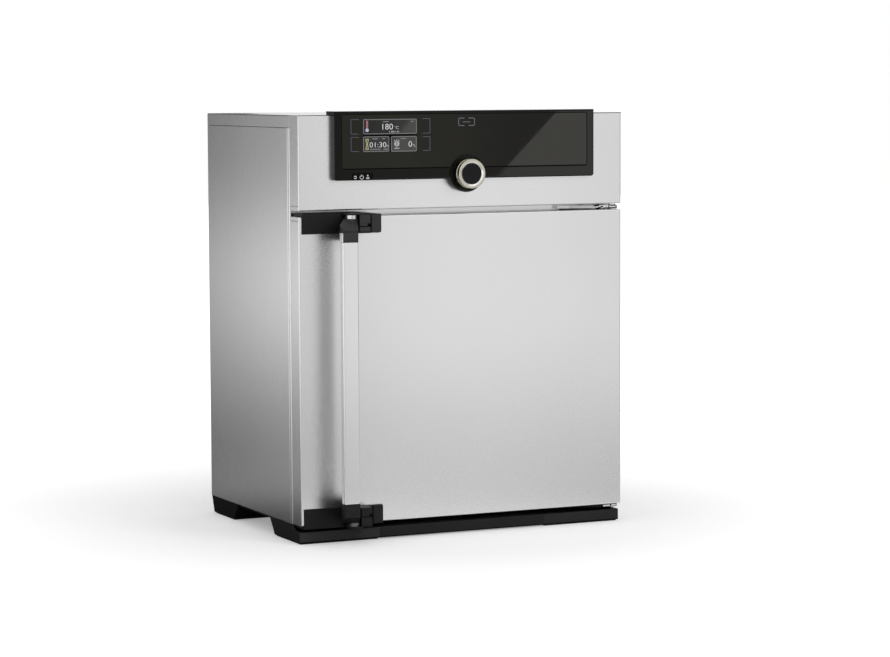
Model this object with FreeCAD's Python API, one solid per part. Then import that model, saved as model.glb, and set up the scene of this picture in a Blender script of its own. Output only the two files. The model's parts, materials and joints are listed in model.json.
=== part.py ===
"""Bench-top hot air oven: sheet steel cabinet, ribbed chamber, hinged door with a two-point latch.

The origin is at the centre of the footprint, on the bench. X runs to the right of someone who
faces the oven, Y runs to the rear and Z runs up. All sizes are in millimetres.
"""
import FreeCAD, Part
import math
import os

V = FreeCAD.Vector
UP = V(0, 0, 1)

# Sheet metal and fits
SKIN = 1.0
SHEET = 1.2
BEND = 2.0
FIT = 0.05
SEAT = 0.2
GAP = 0.3
SLIT = 1.0

# Driving sizes: the body's depth and height follow from the chamber
BODY_W = 585.0
CHAMBER_W = 400.0
CHAMBER_H = 320.0
CHAMBER_D = 250.0
CHAMBER_Z = 120.0
INSULATION_AIR = 12.0
INSULATION_T = 35.0
SERVICE_D = 73.2
DOOR_T = 35.4
DOOR_GAP = 3.2
DOOR_BOTTOM = 30.5
DOOR_ABOVE = 89.7
HEADER_SLOT = 9.6
HEADER_H = 152.7
HANDLE_PROUD = 56.0
STUB_PROUD = 24.0
BODY_D = DOOR_T + DOOR_GAP + SHEET + CHAMBER_D + INSULATION_AIR + INSULATION_T + SERVICE_D
SIDE = BODY_W / 2
FACE = HANDLE_PROUD - (HANDLE_PROUD + BODY_D + STUB_PROUD) / 2
BACK = FACE + BODY_D
FRAME_Y = FACE + DOOR_T + DOOR_GAP
FRAME_BACK = FRAME_Y + SHEET
CHAMBER_X = CHAMBER_W / 2
CHAMBER_TOP = CHAMBER_Z + CHAMBER_H
CHAMBER_BACK = FRAME_BACK + CHAMBER_D
DOOR_TOP = CHAMBER_TOP + DOOR_ABOVE
HEADER_BOTTOM = DOOR_TOP + HEADER_SLOT
BODY_TOP = HEADER_BOTTOM + HEADER_H

# Feet, plinth and base tray
PAD_T = 2.0
PAD_INSET = 2.0
PLINTH_TOP = 20.0
PLINTH_SET_BACK = 8.0
PLINTH_WALL = 3.0
BASE_Z = 26.0
SKIRT_TOP = 29.6
SKIRT_T = 2.6
FOOT_INSET = 0.7
FOOT_W = 141.0
FOOT_WALL = 3.5
FRONT_FOOT_L = 110.0
REAR_FOOT_L = 94.5
REAR_FOOT_FROM_BACK = 10.5
FOOT_SLANT = 19.0
REAR_FOOT_SLANT = 9.0
SIDE_BOTTOM = 29.9

# Header, front frame and cover
HEADER_T = 36.0
FOLD_TAB = 7.0
FRAME_RETURN = 6.0
FRAME_BOTTOM = PLINTH_TOP + GAP
COVER_FLANGE = 20.0
COVER_FRONT = FACE + HEADER_T + SLIT
SIDE_TOP = BODY_TOP - COVER_FLANGE - 0.5
SIDE_FRONT = FRAME_Y + FRAME_RETURN + SLIT
PANEL_RETURN = 14.0

# Chamber
CHAMBER_FLANGE = 20.0
MOUTH_R = 10.0
RIB_COUNT = 4
RIB_PITCH = 64.0
RIB_FIRST = 64.0
RIB_DEPTH = 8.0
RIB_BASE_HALF = 5.0
RIB_CREST_HALF = 4.0
RIB_START = 20.0
RIB_END = 16.0
BAFFLE_DROP = 95.0
BAFFLE_STAND = 14.0
BAFFLE_SIDE_GAP = 9.0
HEATER_R = 3.0
HEATER_BEND = 14.0
PROBE_R = 2.0
PROBE_REACH = 40.0
PROBE_DROP = 35.0
CRADLE_X = 150.0
CRADLE_W = 40.0
CRADLE_FRONT = 60.0

# Grid shelf
GRID_W = 396.0
GRID_SET_BACK = 20.0
GRID_REAR = 18.0
GRID_D = CHAMBER_D - GRID_SET_BACK - GRID_REAR
GRID_RAIL_R = 2.5
GRID_WIRE_R = 1.5
GRID_CORNER = 10.0
GRID_WIRES = 17
GRID_BEARER_R = 2.2
GRID_RISE = 0.4
GRID_RIB = 1

# Door inner panel and seal
PLUG_SIDE_GAP = 6.0
PLUG_IN = 12.0
PLUG_R = 12.0
PLUG_STEP = 40.0
PLUG_STEP_IN = 4.0
SEAL_W = 17.0
SEAL_OUT = 12.0
SEAL_LIP = 1.0

# Exhaust duct and air flap
DUCT_X = -CHAMBER_X + 90.0
DUCT_Z = CHAMBER_TOP - 40.0
DUCT_R = 21.0
DUCT_WALL = 1.5
FLAP_GAP = 0.5
FLAP_T = 1.5
FLAP_FROM_BACK = 42.0
SHAFT_R = 2.0
ACTUATOR_W = 44.0
ACTUATOR_H = 36.0
ACTUATOR_D = 32.0
COLLAR_W = 4.0

# Control housing, glass and display
HOUSING_W = 469.0
HOUSING_H = 111.0
HOUSING_RISE = 6.0
HOUSING_TOP = BODY_TOP + HOUSING_RISE
HOUSING_BOTTOM = HOUSING_TOP - HOUSING_H
HOUSING_PROUD = 13.0
HOUSING_LIP = 21.5
HOUSING_WALL = 3.5
HOUSING_R = 4.5
HOUSING_EDGE_R = 2.5
GLASS_LEFT = -HOUSING_W / 2 + 12.5
GLASS_RIGHT = HOUSING_W / 2 - 14.0
GLASS_H = 87.3
GLASS_DROP = 5.5
GLASS_TOP = HOUSING_TOP - GLASS_DROP
GLASS_BOTTOM = GLASS_TOP - GLASS_H
GLASS_T = 2.0
GLASS_R = 3.0
GLASS_LEDGE = 7.0
GLASS_GAP = 0.8
DISPLAY_X = GLASS_LEFT + 85.0
DISPLAY_W = 98.0
DISPLAY_Z = GLASS_BOTTOM + 53.8
DISPLAY_H = 56.0

# Knob and buttons
KNOB_Z = HOUSING_BOTTOM + 8.0
BOSS_R = 30.5
KNOB_R = 24.0
KNOB_PROUD = 32.5
KNOB_WELL_R = 26.5
KNOB_WELL_DEPTH = 3.0
KNOB_STEP = 0.8
KNOB_FLOOR = 1.5
KNOB_HUB_R = 11.0
KNOB_WALL = 3.0
CONFIRM_R = 17.0
CONFIRM_SUNK = 1.0
CONFIRM_T = 4.0
CONFIRM_STEM_R = 4.0
CONFIRM_TRAVEL = 2.0
BUSH_R = 8.0
POWER_X = -HOUSING_W / 2 + 47.5
POWER_Z = HOUSING_BOTTOM + 6.6
POWER_W = 36.0
POWER_H = 10.0
POWER_SUNK = 0.8
POWER_STEM_R = 2.0
POWER_TRAVEL = 2.5
POWER_LIP = 1.6
BOARD_Y = FACE + 8.0
BOARD_T = 1.6
CHIP_W = 24.0
BOARD_LEFT = GLASS_LEFT + 7.0
BOARD_RIGHT = 60.0
BOARD_POST_R = 3.0
BOARD_POST_IN = 7.0
BOARD_BOTTOM = HOUSING_BOTTOM - 7.0
BOARD_TOP = BODY_TOP - 2.0

# Door hinges at the right
HINGE_X = SIDE - 8.5
HINGE_Y = FACE + 16.0
HINGE_PIN_R = 4.0
HINGE_BUSH_R = 7.0
HINGE_FLANGE_R = 8.0
HINGE_FLANGE_T = 1.5
HINGE_PLATE_T = 5.0
HINGE_PLATE_L = 105.0
HINGE_PLATE_FRONT = 8.0
HINGE_PIN_IN = 22.0

# Latch at the left: the upper end, which the lower end mirrors
LATCH_LIFT = 0.15
LATCH_MID_Z = (DOOR_BOTTOM + DOOR_TOP) / 2 + LATCH_LIFT
PIVOT_X = -SIDE + 84.5
PIVOT_Y = FACE - 16.0
PIN_R = 4.0
LEVER_Z = DOOR_TOP - 3.7
LEVER_T = 6.0
LEVER_W = 14.0
LEVER_HEAD_R = 9.0
LEVER_L = 74.0
HOOK_REACH = 22.0
HOOK_T = 7.7
STRIKER_R = 4.0
STRIKER_OFFSET = 15.0
LATCH_SWING = 25.0
LATCH_LEFT = -SIDE + 5.2
LATCH_RIGHT = PIVOT_X + 58.0
LATCH_BOTTOM = DOOR_TOP - 27.2
LATCH_PLATE_T = 2.6
LATCH_PROUD = 1.5
LUG_LEFT = PIVOT_X + 11.5
LUG_RIGHT = PIVOT_X + 31.0
LUG_PROUD = 22.0
BLOCK_PROUD = 4.0
ARM_R = 11.0
POCKET_BACK = 26.0
POCKET_WALL = 0.8
POCKET_SPARE = 2.0

# Handle bar and caps
BAR_LEFT = PIVOT_X - 32.0
BAR_W = 27.0
BAR_T = 12.0
BAR_WALL = 2.0
BAR_R = 2.0
BAR_TOP = DOOR_TOP - 39.7
CAP_FRONT_TOP = DOOR_TOP - 18.2
CAP_KNUCKLE_R = 9.7
TENON_L = 15.0

# Electronics bay and rear panel
PARTITION_Z = CHAMBER_TOP + 65.0
BOARD_STAND = 8.0
INLET_X = SIDE - 87.5
INLET_Z = BODY_TOP - 92.0
INLET_W = 50.0
INLET_H = 26.0
VENT_L = 60.0
VENT_LEFT = -SIDE + 92.5
VENT_RIGHT = INLET_X - 110.0
VENT_W = 5.0
VENT_PITCH = 12.0
VENT_ROWS = 7
RIM_DEEP = 4.0
INLET_D = 22.0
LOOM_R = 4.0
LOOM_BEND = 14.0
LOOM_X = 30.0
LOOM_HOLE_Z = HOUSING_BOTTOM - 17.0
CABLE_HOLE_W = 60.0
CABLE_HOLE_H = 20.0
CONTROL_SOCKET_Z = HOUSING_BOTTOM + 13.0
SOCKET_H = 14.0
POWER_BOARD_W = 240.0
POWER_BOARD_D = 180.0
POWER_BOARD_SET_BACK = 90.0
POWER_BOARD_RIGHT = INLET_X - 25.0
POWER_BOARD_LEFT = POWER_BOARD_RIGHT - POWER_BOARD_W
POST_R = 3.5
POST_IN = 10.0
POST_REAR_IN = 30.0
TRANSFORMER_IN = 20.0
TRANSFORMER_SET_BACK = 30.0
TRANSFORMER_W = 60.0
TRANSFORMER_D = 50.0
TRANSFORMER_H = 42.0
RELAY_W = 16.0
RELAY_D = 30.0
RELAY_H = 18.0
RELAY_PITCH = 25.0
RELAY_REAR_IN = 20.0
SINK_IN = 20.0
SINK_SET_BACK = 40.0
SINK_W = 70.0
SINK_D = 80.0
SINK_T = 6.0
FIN_PITCH = 10.0
FIN_T = 3.0
FIN_H = 28.0
PLUG_W = 18.0
PLUG_D = 16.0
PLUG_SET_BACK = 15.0
POWER_BOARD_FRONT = FRAME_BACK + POWER_BOARD_SET_BACK


def box(x0, x1, y0, y1, z0, z1):
    """A block between two opposite corners."""
    return Part.makeBox(x1 - x0, y1 - y0, z1 - z0, V(x0, y0, z0))


def rod_x(y, z, radius, x0, x1):
    """A round bar along X."""
    return Part.makeCylinder(radius, x1 - x0, V(x0, y, z), V(1, 0, 0))


def rod_y(x, z, radius, y0, y1):
    """A round bar along Y."""
    return Part.makeCylinder(radius, y1 - y0, V(x, y0, z), V(0, 1, 0))


def rod_z(x, y, radius, z0, z1):
    """A round bar along Z."""
    return Part.makeCylinder(radius, z1 - z0, V(x, y, z0), UP)


def outline_xy(points, z0, z1):
    """A flat outline in plan, raised from z0 to z1."""
    corners = [V(x, y, z0) for x, y in points]
    face = Part.Face(Part.makePolygon(corners + corners[:1]))
    return face.extrude(V(0, 0, z1 - z0))


def outline_yz(points, x0, x1):
    """An outline seen from the side, drawn out from x0 to x1."""
    corners = [V(x0, y, z) for y, z in points]
    face = Part.Face(Part.makePolygon(corners + corners[:1]))
    return face.extrude(V(x1 - x0, 0, 0))


def fuse(first, *others):
    """One solid from pieces that meet."""
    return first.multiFuse(list(others)).removeSplitter()


def cut(shape, *tools):
    """A shape less one or more tools."""
    return shape.cut(list(tools))


def straight_edges(shape, along, keep):
    """Straight edges that run along a direction and whose middles pass a test."""
    found = []
    for edge in shape.Edges:
        if not isinstance(edge.Curve, (Part.Line, Part.LineSegment)):
            continue
        run = edge.Vertexes[-1].Point - edge.Vertexes[0].Point
        if run.cross(along).Length < 1e-6 * run.Length and keep(edge.CenterOfMass):
            found.append(edge)
    return found


def rounded(shape, radius, along, keep=lambda middle: True):
    """A shape with its straight edges along one direction rounded."""
    return shape.makeFillet(radius, straight_edges(shape, along, keep))


def rim_at(shape, y):
    """The edges of a shape that lie in one upright plane."""
    return [edge for edge in shape.Edges if abs(edge.BoundBox.YMin - y) + abs(edge.BoundBox.YMax - y) < 1e-3]


def face_rounded(shape, radius, y):
    """A shape with all the outer edges of its face at one y rounded."""
    return shape.makeFillet(radius, rim_at(shape, y))


def mirrored_down(shape):
    """The lower twin of an upper latch piece."""
    return shape.mirror(V(0, 0, LATCH_MID_Z), UP)


def mirrored_right(shape):
    """The right twin of a left piece."""
    return shape.mirror(V(0, 0, 0), V(1, 0, 0))


def frustum(base, crest):
    """A tapered block between two rectangles, each given as x, y0, y1, z0, z1."""
    wires = []
    for x, y0, y1, z0, z1 in (base, crest):
        corners = [V(x, y0, z0), V(x, y1, z0), V(x, y1, z1), V(x, y0, z1)]
        wires.append(Part.makePolygon(corners + corners[:1]))
    return Part.makeLoft(wires, True, True)


def bent_rod(points, radius, bend):
    """A round bar along straight runs joined by arcs of one bend radius."""
    pieces = []
    start = points[0]
    for before, corner, after in zip(points, points[1:], points[2:]):
        arrive = (corner - before).normalize()
        leave = (after - corner).normalize()
        turn = arrive.getAngle(leave)
        reach = bend * math.tan(turn / 2)
        first = corner - arrive * reach
        axis = arrive.cross(leave).normalize()
        centre = first + axis.cross(arrive) * bend
        section = Part.Face(Part.Wire(Part.makeCircle(radius, first, arrive)))
        pieces.append(Part.makeCylinder(radius, (first - start).Length, start, arrive))
        pieces.append(section.revolve(centre, axis, math.degrees(turn)))
        start = corner + leave * reach
    end = points[-1] - start
    pieces.append(Part.makeCylinder(radius, end.Length, start, end))
    return fuse(*pieces)


def rear_open_tray(x, y0, y1, z0, z1, skin):
    """A folded sheet tray, open to the rear, with its front folds rounded."""
    outer = face_rounded(box(-x, x, y0, y1, z0, z1), BEND, y0)
    return cut(outer, box(-x + skin, x - skin, y0 + skin, y1 + skin, z0 + skin, z1 - skin))


def side_panel_left():
    """Outer side skin with inward returns at all four edges."""
    skin = rounded(box(-SIDE, -SIDE + PANEL_RETURN, SIDE_FRONT, BACK, SIDE_BOTTOM, SIDE_TOP),
                   BEND, UP, lambda middle: middle.x < -SIDE + SKIN and middle.y < SIDE_FRONT + SKIN)
    hollow = box(-SIDE + SKIN, 0, SIDE_FRONT + SKIN, BACK - 2 * SKIN - SEAT, SIDE_BOTTOM + SKIN, SIDE_TOP - SKIN)
    rear_step = box(-SIDE + SKIN, 0, BACK - SKIN - SEAT, BACK + SKIN, SIDE_BOTTOM - SKIN, SIDE_TOP + SKIN)
    return cut(skin, hollow, rear_step)


def top_cover():
    """Top sheet with side and rear flanges turned down."""
    bottom = BODY_TOP - COVER_FLANGE
    outer = box(-SIDE, SIDE, COVER_FRONT, BACK, bottom, BODY_TOP)
    outer = rounded(outer, BEND, V(0, 1, 0), lambda middle: middle.z > bottom + SKIN)
    hollow = box(-SIDE + SKIN, SIDE - SKIN, COVER_FRONT - SKIN, BACK - SKIN, bottom - SKIN, BODY_TOP - SHEET)
    return cut(outer, hollow)


def rear_vent(x, z):
    """One slot with round ends through the rear panel."""
    half = VENT_L / 2 - VENT_W / 2
    slot = box(x - half, x + half, BACK - 2 * SHEET, BACK + SHEET, z - VENT_W / 2, z + VENT_W / 2)
    ends = [rod_y(x + side * half, z, VENT_W / 2, BACK - 2 * SHEET, BACK + SHEET) for side in (-1, 1)]
    return fuse(slot, *ends)


def vent_places():
    """Centres of the slots: two columns beside the electronics."""
    top = BODY_TOP - COVER_FLANGE - VENT_PITCH * 2
    return [(x, top - row * VENT_PITCH) for x in (VENT_LEFT, VENT_RIGHT) for row in range(VENT_ROWS)]


def rear_panel():
    """Flat rear sheet with vent slots, a drawn hole for the exhaust stub and a rimmed one for the inlet."""
    x = SIDE - SKIN - SEAT
    panel = box(-x, x, BACK - SKIN, BACK, SIDE_BOTTOM + SEAT, BODY_TOP - COVER_FLANGE - SEAT)
    holes = [rear_vent(*place) for place in vent_places()]
    holes.append(rod_y(DUCT_X, DUCT_Z, DUCT_R + SEAT, BACK - 2 * RIM_DEEP, BACK + SHEET))
    collar = rod_y(DUCT_X, DUCT_Z, DUCT_R + SEAT + SKIN, BACK - RIM_DEEP, BACK)
    half_w = INLET_W / 2 - 10
    half_h = INLET_H / 2 - 2
    holes.append(box(INLET_X - half_w, INLET_X + half_w, BACK - 2 * RIM_DEEP, BACK + SHEET,
                     INLET_Z - half_h, INLET_Z + half_h))
    rim = box(INLET_X - half_w - SKIN, INLET_X + half_w + SKIN, BACK - RIM_DEEP, BACK,
              INLET_Z - half_h - SKIN, INLET_Z + half_h + SKIN)
    return cut(fuse(panel, collar, rim), *holes)


def base_tray():
    """Bottom sheet with a low rim that carries the side panels."""
    x = SIDE - FOOT_INSET - SKIRT_T - SEAT
    outer = box(-x, x, FRAME_BACK, BACK - SKIN - SEAT, BASE_Z, SIDE_BOTTOM)
    hollow = box(-x + SHEET, x - SHEET, FRAME_BACK + SHEET, BACK - 2 * SHEET - SEAT, BASE_Z + SHEET, SIDE_BOTTOM + SHEET)
    x0, x1, rear, z0, z1 = pocket_limits()
    pocket_notch = box(x0 - SHEET, x1 + SHEET, FRAME_BACK - SHEET, FRAME_BACK + 2 * SHEET, BASE_Z + SHEET, SIDE_TOP)
    return cut(outer, hollow, pocket_notch)


def pocket_limits():
    """Inside of the upper latch pocket: left, right, rear, bottom and top."""
    return (PIVOT_X - HOOK_REACH - POCKET_SPARE, PIVOT_X + 40.0, FRAME_BACK + POCKET_BACK,
            LEVER_Z - POCKET_SPARE, LEVER_Z + LEVER_T + GAP + 0.1)


def front_frame():
    """Bulkhead behind the door: chamber mouth, latch mouths and cable holes, with side returns."""
    outer = box(-SIDE, SIDE, FRAME_Y, FRAME_Y + FRAME_RETURN, SIDE_BOTTOM, SIDE_TOP)
    outer = rounded(outer, BEND, UP, lambda middle: middle.y < FRAME_BACK)
    frame = cut(outer, box(-SIDE + SHEET, SIDE - SHEET, FRAME_BACK, BACK, 0, BODY_TOP))
    inset = SIDE - FOOT_INSET - SKIRT_T - 2 * SEAT
    skirt = box(-inset, inset, FRAME_Y, FRAME_BACK, FRAME_BOTTOM, SIDE_BOTTOM)
    top_inset = SIDE - SKIN - SEAT
    head = box(-top_inset, top_inset, FRAME_Y, FRAME_BACK, SIDE_TOP, BODY_TOP - SHEET)
    frame = fuse(frame, skirt, head)
    mouth = box(-CHAMBER_X, CHAMBER_X, FRAME_Y - SHEET, FRAME_BACK + SHEET, CHAMBER_Z, CHAMBER_TOP)
    x0, x1, rear, z0, z1 = pocket_limits()
    latch_mouth = box(x0, x1, FRAME_Y - SHEET, FRAME_BACK + SHEET, z0, z1)
    cable_holes = [rounded(box(x - CABLE_HOLE_W / 2, x + CABLE_HOLE_W / 2, FRAME_Y - SHEET, FRAME_BACK + SHEET,
                               LOOM_HOLE_Z - CABLE_HOLE_H / 2, LOOM_HOLE_Z + CABLE_HOLE_H / 2), 8.0, V(0, 1, 0))
                   for x in (-LOOM_X - 70, LOOM_X)]
    return cut(frame, mouth, latch_mouth, mirrored_down(latch_mouth), *cable_holes)


def latch_pocket():
    """Sheet box behind the frame that the upper lever reaches into."""
    x0, x1, rear, z0, z1 = pocket_limits()
    wall = POCKET_WALL
    return cut(box(x0 - wall, x1 + wall, FRAME_BACK, rear + wall, z0 - wall, z1 + wall),
               box(x0, x1, FRAME_BACK - wall, rear, z0, z1))


def striker():
    """Upright pin in the upper pocket, which the hook grips from behind."""
    x0, x1, rear, z0, z1 = pocket_limits()
    y = PIVOT_Y + LEVER_L - HOOK_T - GAP - STRIKER_R
    return rod_z(PIVOT_X - STRIKER_OFFSET, y, STRIKER_R, z0, z1)


def header_panel():
    """Folded front panel above the door, open behind, with holes for the controls."""
    tray = rear_open_tray(SIDE, FACE, FACE + HEADER_T, HEADER_BOTTOM, BODY_TOP, SKIN)
    ledge = box(-SIDE + PANEL_RETURN, SIDE - PANEL_RETURN, FACE + HEADER_T, FRAME_Y,
                HEADER_BOTTOM, HEADER_BOTTOM + SKIN)
    tray = fuse(tray, ledge)
    window = box(GLASS_LEFT + 3 * GLASS_LEDGE, GLASS_RIGHT - 3 * GLASS_LEDGE, FACE - SKIN, FACE + 2 * SKIN,
                 GLASS_BOTTOM + GLASS_LEDGE, BODY_TOP - GLASS_LEDGE)
    window = rounded(window, 6.0, V(0, 1, 0))
    knob_hole = rod_y(0, KNOB_Z, BUSH_R + 2, FACE - SKIN, FACE + 2 * SKIN)
    stem_hole = rod_y(POWER_X, POWER_Z, POWER_STEM_R + SLIT, FACE - SKIN, FACE + 2 * SKIN)
    tab = fold_line(HEADER_BOTTOM + FOLD_TAB)
    return cut(tray, window, knob_hole, stem_hole, *tab)


def fold_line(z):
    """Two fine grooves where the end tabs of a folded side meet its return."""
    depth = SKIN / 2
    width = SKIN / 2
    return [box(x - depth, x + depth, FACE + BEND, FACE + HEADER_T + SKIN, z, z + width) for x in (-SIDE, SIDE)]


def rib(side, z):
    """Outside and inside of one pressed rib in a side wall; side is -1 at the left, 1 at the right."""
    y0 = FRAME_BACK + RIB_START
    y1 = CHAMBER_BACK - RIB_END
    slope = RIB_DEPTH
    shapes = []
    for shift, base_half, crest_half in ((0, RIB_BASE_HALF, RIB_CREST_HALF),
                                         (SHEET, RIB_BASE_HALF - SHEET, RIB_CREST_HALF - SHEET)):
        x_base = side * (CHAMBER_X + shift)
        x_crest = side * (CHAMBER_X + shift - RIB_DEPTH)
        base = (x_base, y0 + shift, y1 - shift, z - base_half, z + base_half)
        crest = (x_crest, y0 + shift + slope, y1 - shift - slope, z - crest_half, z + crest_half)
        shapes.append(frustum(base, crest))
    return shapes


def rib_height(number):
    """Height of the middle of a rib, counted from 0 at the bottom."""
    return CHAMBER_Z + RIB_FIRST + number * RIB_PITCH


def chamber():
    """Welded chamber with pressed ribs in both side walls and a front flange."""
    wall = SHEET
    shell = box(-CHAMBER_X - wall, CHAMBER_X + wall, FRAME_BACK, CHAMBER_BACK + wall,
                CHAMBER_Z - wall, CHAMBER_TOP + wall)
    reach = CHAMBER_FLANGE
    flange = box(-CHAMBER_X - reach, CHAMBER_X + reach, FRAME_BACK, FRAME_BACK + wall,
                 CHAMBER_Z - reach, CHAMBER_TOP + reach)
    body = cut(fuse(shell, flange), box(-CHAMBER_X, CHAMBER_X, FRAME_BACK - wall, CHAMBER_BACK, CHAMBER_Z, CHAMBER_TOP))
    pressed = [rib(side, rib_height(number)) for side in (-1, 1) for number in range(RIB_COUNT)]
    body = fuse(body, *[outside for outside, inside in pressed])
    holes = [rod_y(DUCT_X, DUCT_Z, DUCT_R - DUCT_WALL, CHAMBER_BACK - wall, CHAMBER_BACK + 2 * wall)]
    holes += [rod_y(x, CHAMBER_TOP - PROBE_DROP, PROBE_R + FIT, CHAMBER_BACK - wall, CHAMBER_BACK + 2 * wall)
              for x in probe_places()]
    return cut(body, *[inside for outside, inside in pressed], *holes)


def probe_places():
    """X of the two temperature probes."""
    return (150.0, 165.0)


def temperature_probes():
    """Two probe tubes through the chamber's rear wall, each with a collar outside."""
    wall_back = CHAMBER_BACK + SHEET
    probes = []
    for x in probe_places():
        tube = rod_y(x, CHAMBER_TOP - PROBE_DROP, PROBE_R, CHAMBER_BACK - PROBE_REACH, wall_back + 8)
        collar = rod_y(x, CHAMBER_TOP - PROBE_DROP, 2.5 * PROBE_R, wall_back, wall_back + 3)
        probes.append(fuse(tube, collar))
    return Part.makeCompound(probes)


def rear_baffle():
    """Folded plate in front of the chamber's rear wall, with slots for the air along its foot."""
    x = CHAMBER_X - BAFFLE_SIDE_GAP
    front = CHAMBER_BACK - BAFFLE_STAND
    z0 = CHAMBER_Z + GAP
    top = CHAMBER_TOP - BAFFLE_DROP
    outer = box(-x, x, front, CHAMBER_BACK, z0, top)
    hollow = box(-x + SHEET, x - SHEET, front + SHEET, CHAMBER_BACK + SHEET, z0 - SHEET, top - SHEET)
    slots = [box(centre - 14, centre + 14, front - SHEET, front + 2 * SHEET, z0 + 12, z0 + 20)
             for centre in range(-160, 161, 40)]
    slots += [box(centre - 14, centre + 14, front + 4, CHAMBER_BACK - 3, top - 2 * SHEET, top + SHEET)
              for centre in range(-160, 161, 40)]
    return cut(outer, hollow, *slots)


def heater_side(side):
    """One serpentine rod outside a side wall, with a pass along each rib."""
    x = side * (CHAMBER_X + SHEET + GAP + HEATER_R)
    front = FRAME_BACK + RIB_START
    rear = CHAMBER_BACK - RIB_START
    heights = [rib_height(number) for number in range(RIB_COUNT)]
    points = [V(x, CHAMBER_BACK, heights[0])]
    for number, z in enumerate(heights):
        near, far = (rear, front) if number % 2 == 0 else (front, rear)
        if number:
            points.append(V(x, near, z))
        points.append(V(x, far, z))
    points[-1] = V(x, CHAMBER_BACK, heights[-1])
    return bent_rod(points, HEATER_R, HEATER_BEND)


def heater_floor():
    """The hairpin rod under the chamber floor."""
    z = CHAMBER_Z - SHEET - GAP - HEATER_R
    front = FRAME_BACK + RIB_START
    rear = CHAMBER_BACK - RIB_START
    points = [V(-150, CHAMBER_BACK, z), V(-150, front, z), V(-50, front, z), V(-50, rear, z),
              V(50, rear, z), V(50, front, z), V(150, front, z), V(150, CHAMBER_BACK, z)]
    return bent_rod(points, HEATER_R, HEATER_BEND)


def heater_rods():
    """The three heating rods round the chamber."""
    return Part.makeCompound([heater_side(-1), heater_side(1), heater_floor()])


def insulation():
    """Mineral wool jacket round the chamber, open at the front."""
    near = SHEET + INSULATION_AIR
    far = near + INSULATION_T
    front = FRAME_BACK + SHEET
    jacket = box(-CHAMBER_X - far, CHAMBER_X + far, front, CHAMBER_BACK + far, CHAMBER_Z - far, CHAMBER_TOP + far)
    room = box(-CHAMBER_X - near, CHAMBER_X + near, front - SHEET, CHAMBER_BACK + near,
               CHAMBER_Z - near, CHAMBER_TOP + near)
    duct_hole = rod_y(DUCT_X, DUCT_Z, DUCT_R + SEAT, CHAMBER_BACK, CHAMBER_BACK + 2 * far)
    return cut(jacket, room, duct_hole)


def chamber_cradle():
    """Two folded rails that carry the insulated chamber on the base tray."""
    floor = BASE_Z + SHEET
    top = CHAMBER_Z - SHEET - INSULATION_AIR - INSULATION_T
    rails = []
    half = CRADLE_W / 2
    for x in (-CRADLE_X, CRADLE_X):
        outer = box(x - half, x + half, FRAME_BACK + CRADLE_FRONT, CHAMBER_BACK, floor, top)
        rails.append(cut(outer, box(x - half + SHEET, x + half - SHEET, FACE, BACK, floor - SHEET, top - SHEET)))
    return Part.makeCompound(rails)


def partition_plate():
    """Sheet under the electronics, with side rims turned down and notches for the side returns."""
    x = SIDE - SKIN - SEAT
    outer = box(-x, x, FRAME_BACK, BACK - 2 * SKIN - SEAT, PARTITION_Z - PANEL_RETURN, PARTITION_Z)
    below = box(-x + SHEET, x - SHEET, FRAME_BACK - SHEET, BACK, PARTITION_Z - 2 * PANEL_RETURN, PARTITION_Z - SHEET)
    notch = box(-SIDE, -SIDE + PANEL_RETURN + SEAT, FRAME_Y, SIDE_FRONT + SKIN + SEAT, 0, BODY_TOP)
    return cut(outer, below, notch, mirrored_right(notch))


def duct_ring(outer_r, inner_r, y0, y1):
    """A tube on the exhaust axis."""
    return cut(rod_y(DUCT_X, DUCT_Z, outer_r, y0, y1), rod_y(DUCT_X, DUCT_Z, inner_r, y0 - SHEET, y1 + SHEET))


def exhaust_duct():
    """Tube from the chamber to the stub behind the oven, with a collar and the shaft holes."""
    tube = duct_ring(DUCT_R, DUCT_R - DUCT_WALL, CHAMBER_BACK + SHEET, BACK + STUB_PROUD)
    collar = duct_ring(DUCT_R + COLLAR_W, DUCT_R - DUCT_WALL / 2, BACK, BACK + SHEET)
    hole = rod_x(flap_y(), DUCT_Z, SHAFT_R + FIT, DUCT_X - 2 * DUCT_R, DUCT_X + 2 * DUCT_R)
    return cut(fuse(tube, collar), hole)


def flap_y():
    """Place of the flap shaft along the duct."""
    return BACK - FLAP_FROM_BACK


def flap_disc():
    """Round blade that closes the duct, with a bore across it for the shaft."""
    y = flap_y()
    disc = rod_y(DUCT_X, DUCT_Z, DUCT_R - DUCT_WALL - FLAP_GAP, y - FLAP_T / 2, y + FLAP_T / 2)
    sleeve = rod_x(y, DUCT_Z, SHAFT_R + SHEET, DUCT_X - DUCT_R / 2, DUCT_X + DUCT_R / 2)
    bore = rod_x(y, DUCT_Z, SHAFT_R, DUCT_X - 2 * DUCT_R, DUCT_X + 2 * DUCT_R)
    return cut(fuse(disc, sleeve), bore)


def actuator_left():
    """X where the actuator's saddle begins."""
    return DUCT_X + DUCT_R - 8


def flap_shaft():
    """Shaft from a stop outside the duct to the actuator's socket."""
    y = flap_y()
    shaft = rod_x(y, DUCT_Z, SHAFT_R, DUCT_X - DUCT_R - 6, DUCT_X + DUCT_R + 14)
    head = rod_x(y, DUCT_Z, 2 * SHAFT_R, DUCT_X - DUCT_R - 8, DUCT_X - DUCT_R - 3)
    return fuse(shaft, head)


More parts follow.
